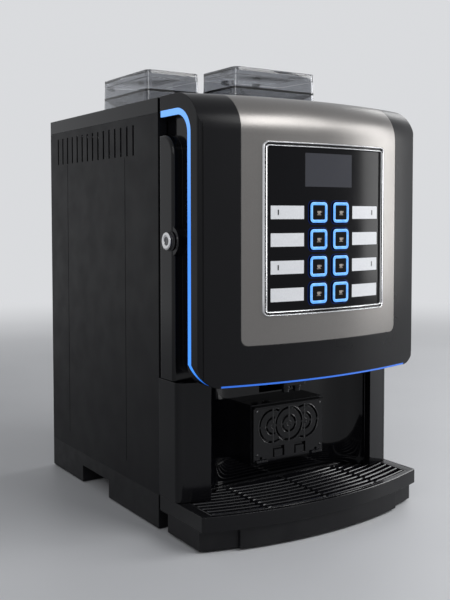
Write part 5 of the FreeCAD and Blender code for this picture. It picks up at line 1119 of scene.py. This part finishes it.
print("ridges", len(ridges))

# %% [markdown]
# ## Floor, light and world
# A pale floor and soft lamps. The world is a plain pale grey, dimmer for diffuse light than
# for what the camera and the polished faces see.

# %% Floor
FLOOR_SIZE = 30
BACKGROUND = (0.70, 0.71, 0.73)
FADE_START, FADE_END = 1.1, 3.4
floor_coat = material("floor", (0.60, 0.61, 0.63), 0.5)
vary_roughness(floor_coat, 3, 3, 0.45, 0.58)
distance = add_node(floor_coat, "ShaderNodeVectorMath", operation="LENGTH")
link(floor_coat, place_of(floor_coat), distance.inputs[0])
far = add_node(floor_coat, "ShaderNodeMapRange", interpolation_type="SMOOTHSTEP",
               From_Min=FADE_START, From_Max=FADE_END, To_Min=0, To_Max=1)
link(floor_coat, distance.outputs["Value"], far.inputs["Value"])
haze = add_node(floor_coat, "ShaderNodeEmission", Color=(*BACKGROUND, 1), Strength=1.0)
blend = add_node(floor_coat, "ShaderNodeMixShader")
link(floor_coat, far.outputs["Result"], blend.inputs["Fac"])
link(floor_coat, shader_of(floor_coat).outputs["BSDF"], blend.inputs[1])
link(floor_coat, haze.outputs["Emission"], blend.inputs[2])
link(floor_coat, blend.outputs["Shader"], floor_coat.node_tree.nodes["Material Output"].inputs["Surface"])
floor = add_mesh(
    "floor",
    [(-FLOOR_SIZE, -FLOOR_SIZE, 0), (FLOOR_SIZE, -FLOOR_SIZE, 0), (FLOOR_SIZE, FLOOR_SIZE, 0),
     (-FLOOR_SIZE, FLOOR_SIZE, 0)],
    [(0, 1, 2, 3)],
    "floor",
    smooth=False,
)


# %% Lamps
def lamp(name, place, target, width, height, power):
    """A rectangular area lamp that faces a target."""
    data = bpy.data.lights.new(name, "AREA")
    data.shape = "RECTANGLE"
    data.size = width
    data.size_y = height
    data.energy = power
    made = bpy.data.objects.new(name, data)
    made.location = place
    made.rotation_mode = "QUATERNION"
    made.rotation_quaternion = (Vector(target) - Vector(place)).to_track_quat("-Z", "Y")
    bpy.context.scene.collection.objects.link(made)


MACHINE_MIDDLE = (0, -0.1, 0.35)
lamp("key_lamp", (0.9, -2.0, 2.1), MACHINE_MIDDLE, 1.5, 1.0, 32)
lamp("left_fill", (-2.0, -1.6, 1.6), MACHINE_MIDDLE, 1.2, 1.2, 12)
lamp("right_strip", (1.7, -1.1, 0.9), (0.1, -0.2, 0.35), 0.6, 1.5, 17)
lamp("rim_strip", (1.7, 0.6, 1.1), (0.15, -0.15, 0.3), 0.5, 1.2, 5)

# %% World
DIFFUSE_STRENGTH = 0.35
world = bpy.data.worlds.new("studio")
bpy.context.scene.world = world
world.use_nodes = True
background = world.node_tree.nodes["Background"]
background.inputs["Color"].default_value = (*BACKGROUND, 1)
rays = add_node(world, "ShaderNodeLightPath")
seen = add_node(world, "ShaderNodeMath", operation="MAXIMUM")
link(world, rays.outputs["Is Camera Ray"], seen.inputs[0])
polished = add_node(world, "ShaderNodeMath", operation="MAXIMUM")
link(world, rays.outputs["Is Glossy Ray"], polished.inputs[0])
link(world, rays.outputs["Is Transmission Ray"], polished.inputs[1])
link(world, polished.outputs[0], seen.inputs[1])
strength = add_node(world, "ShaderNodeMapRange", To_Min=DIFFUSE_STRENGTH, To_Max=1.0)
link(world, seen.outputs[0], strength.inputs["Value"])
link(world, strength.outputs["Result"], background.inputs["Strength"])
bpy.context.scene.view_settings.view_transform = "Standard"
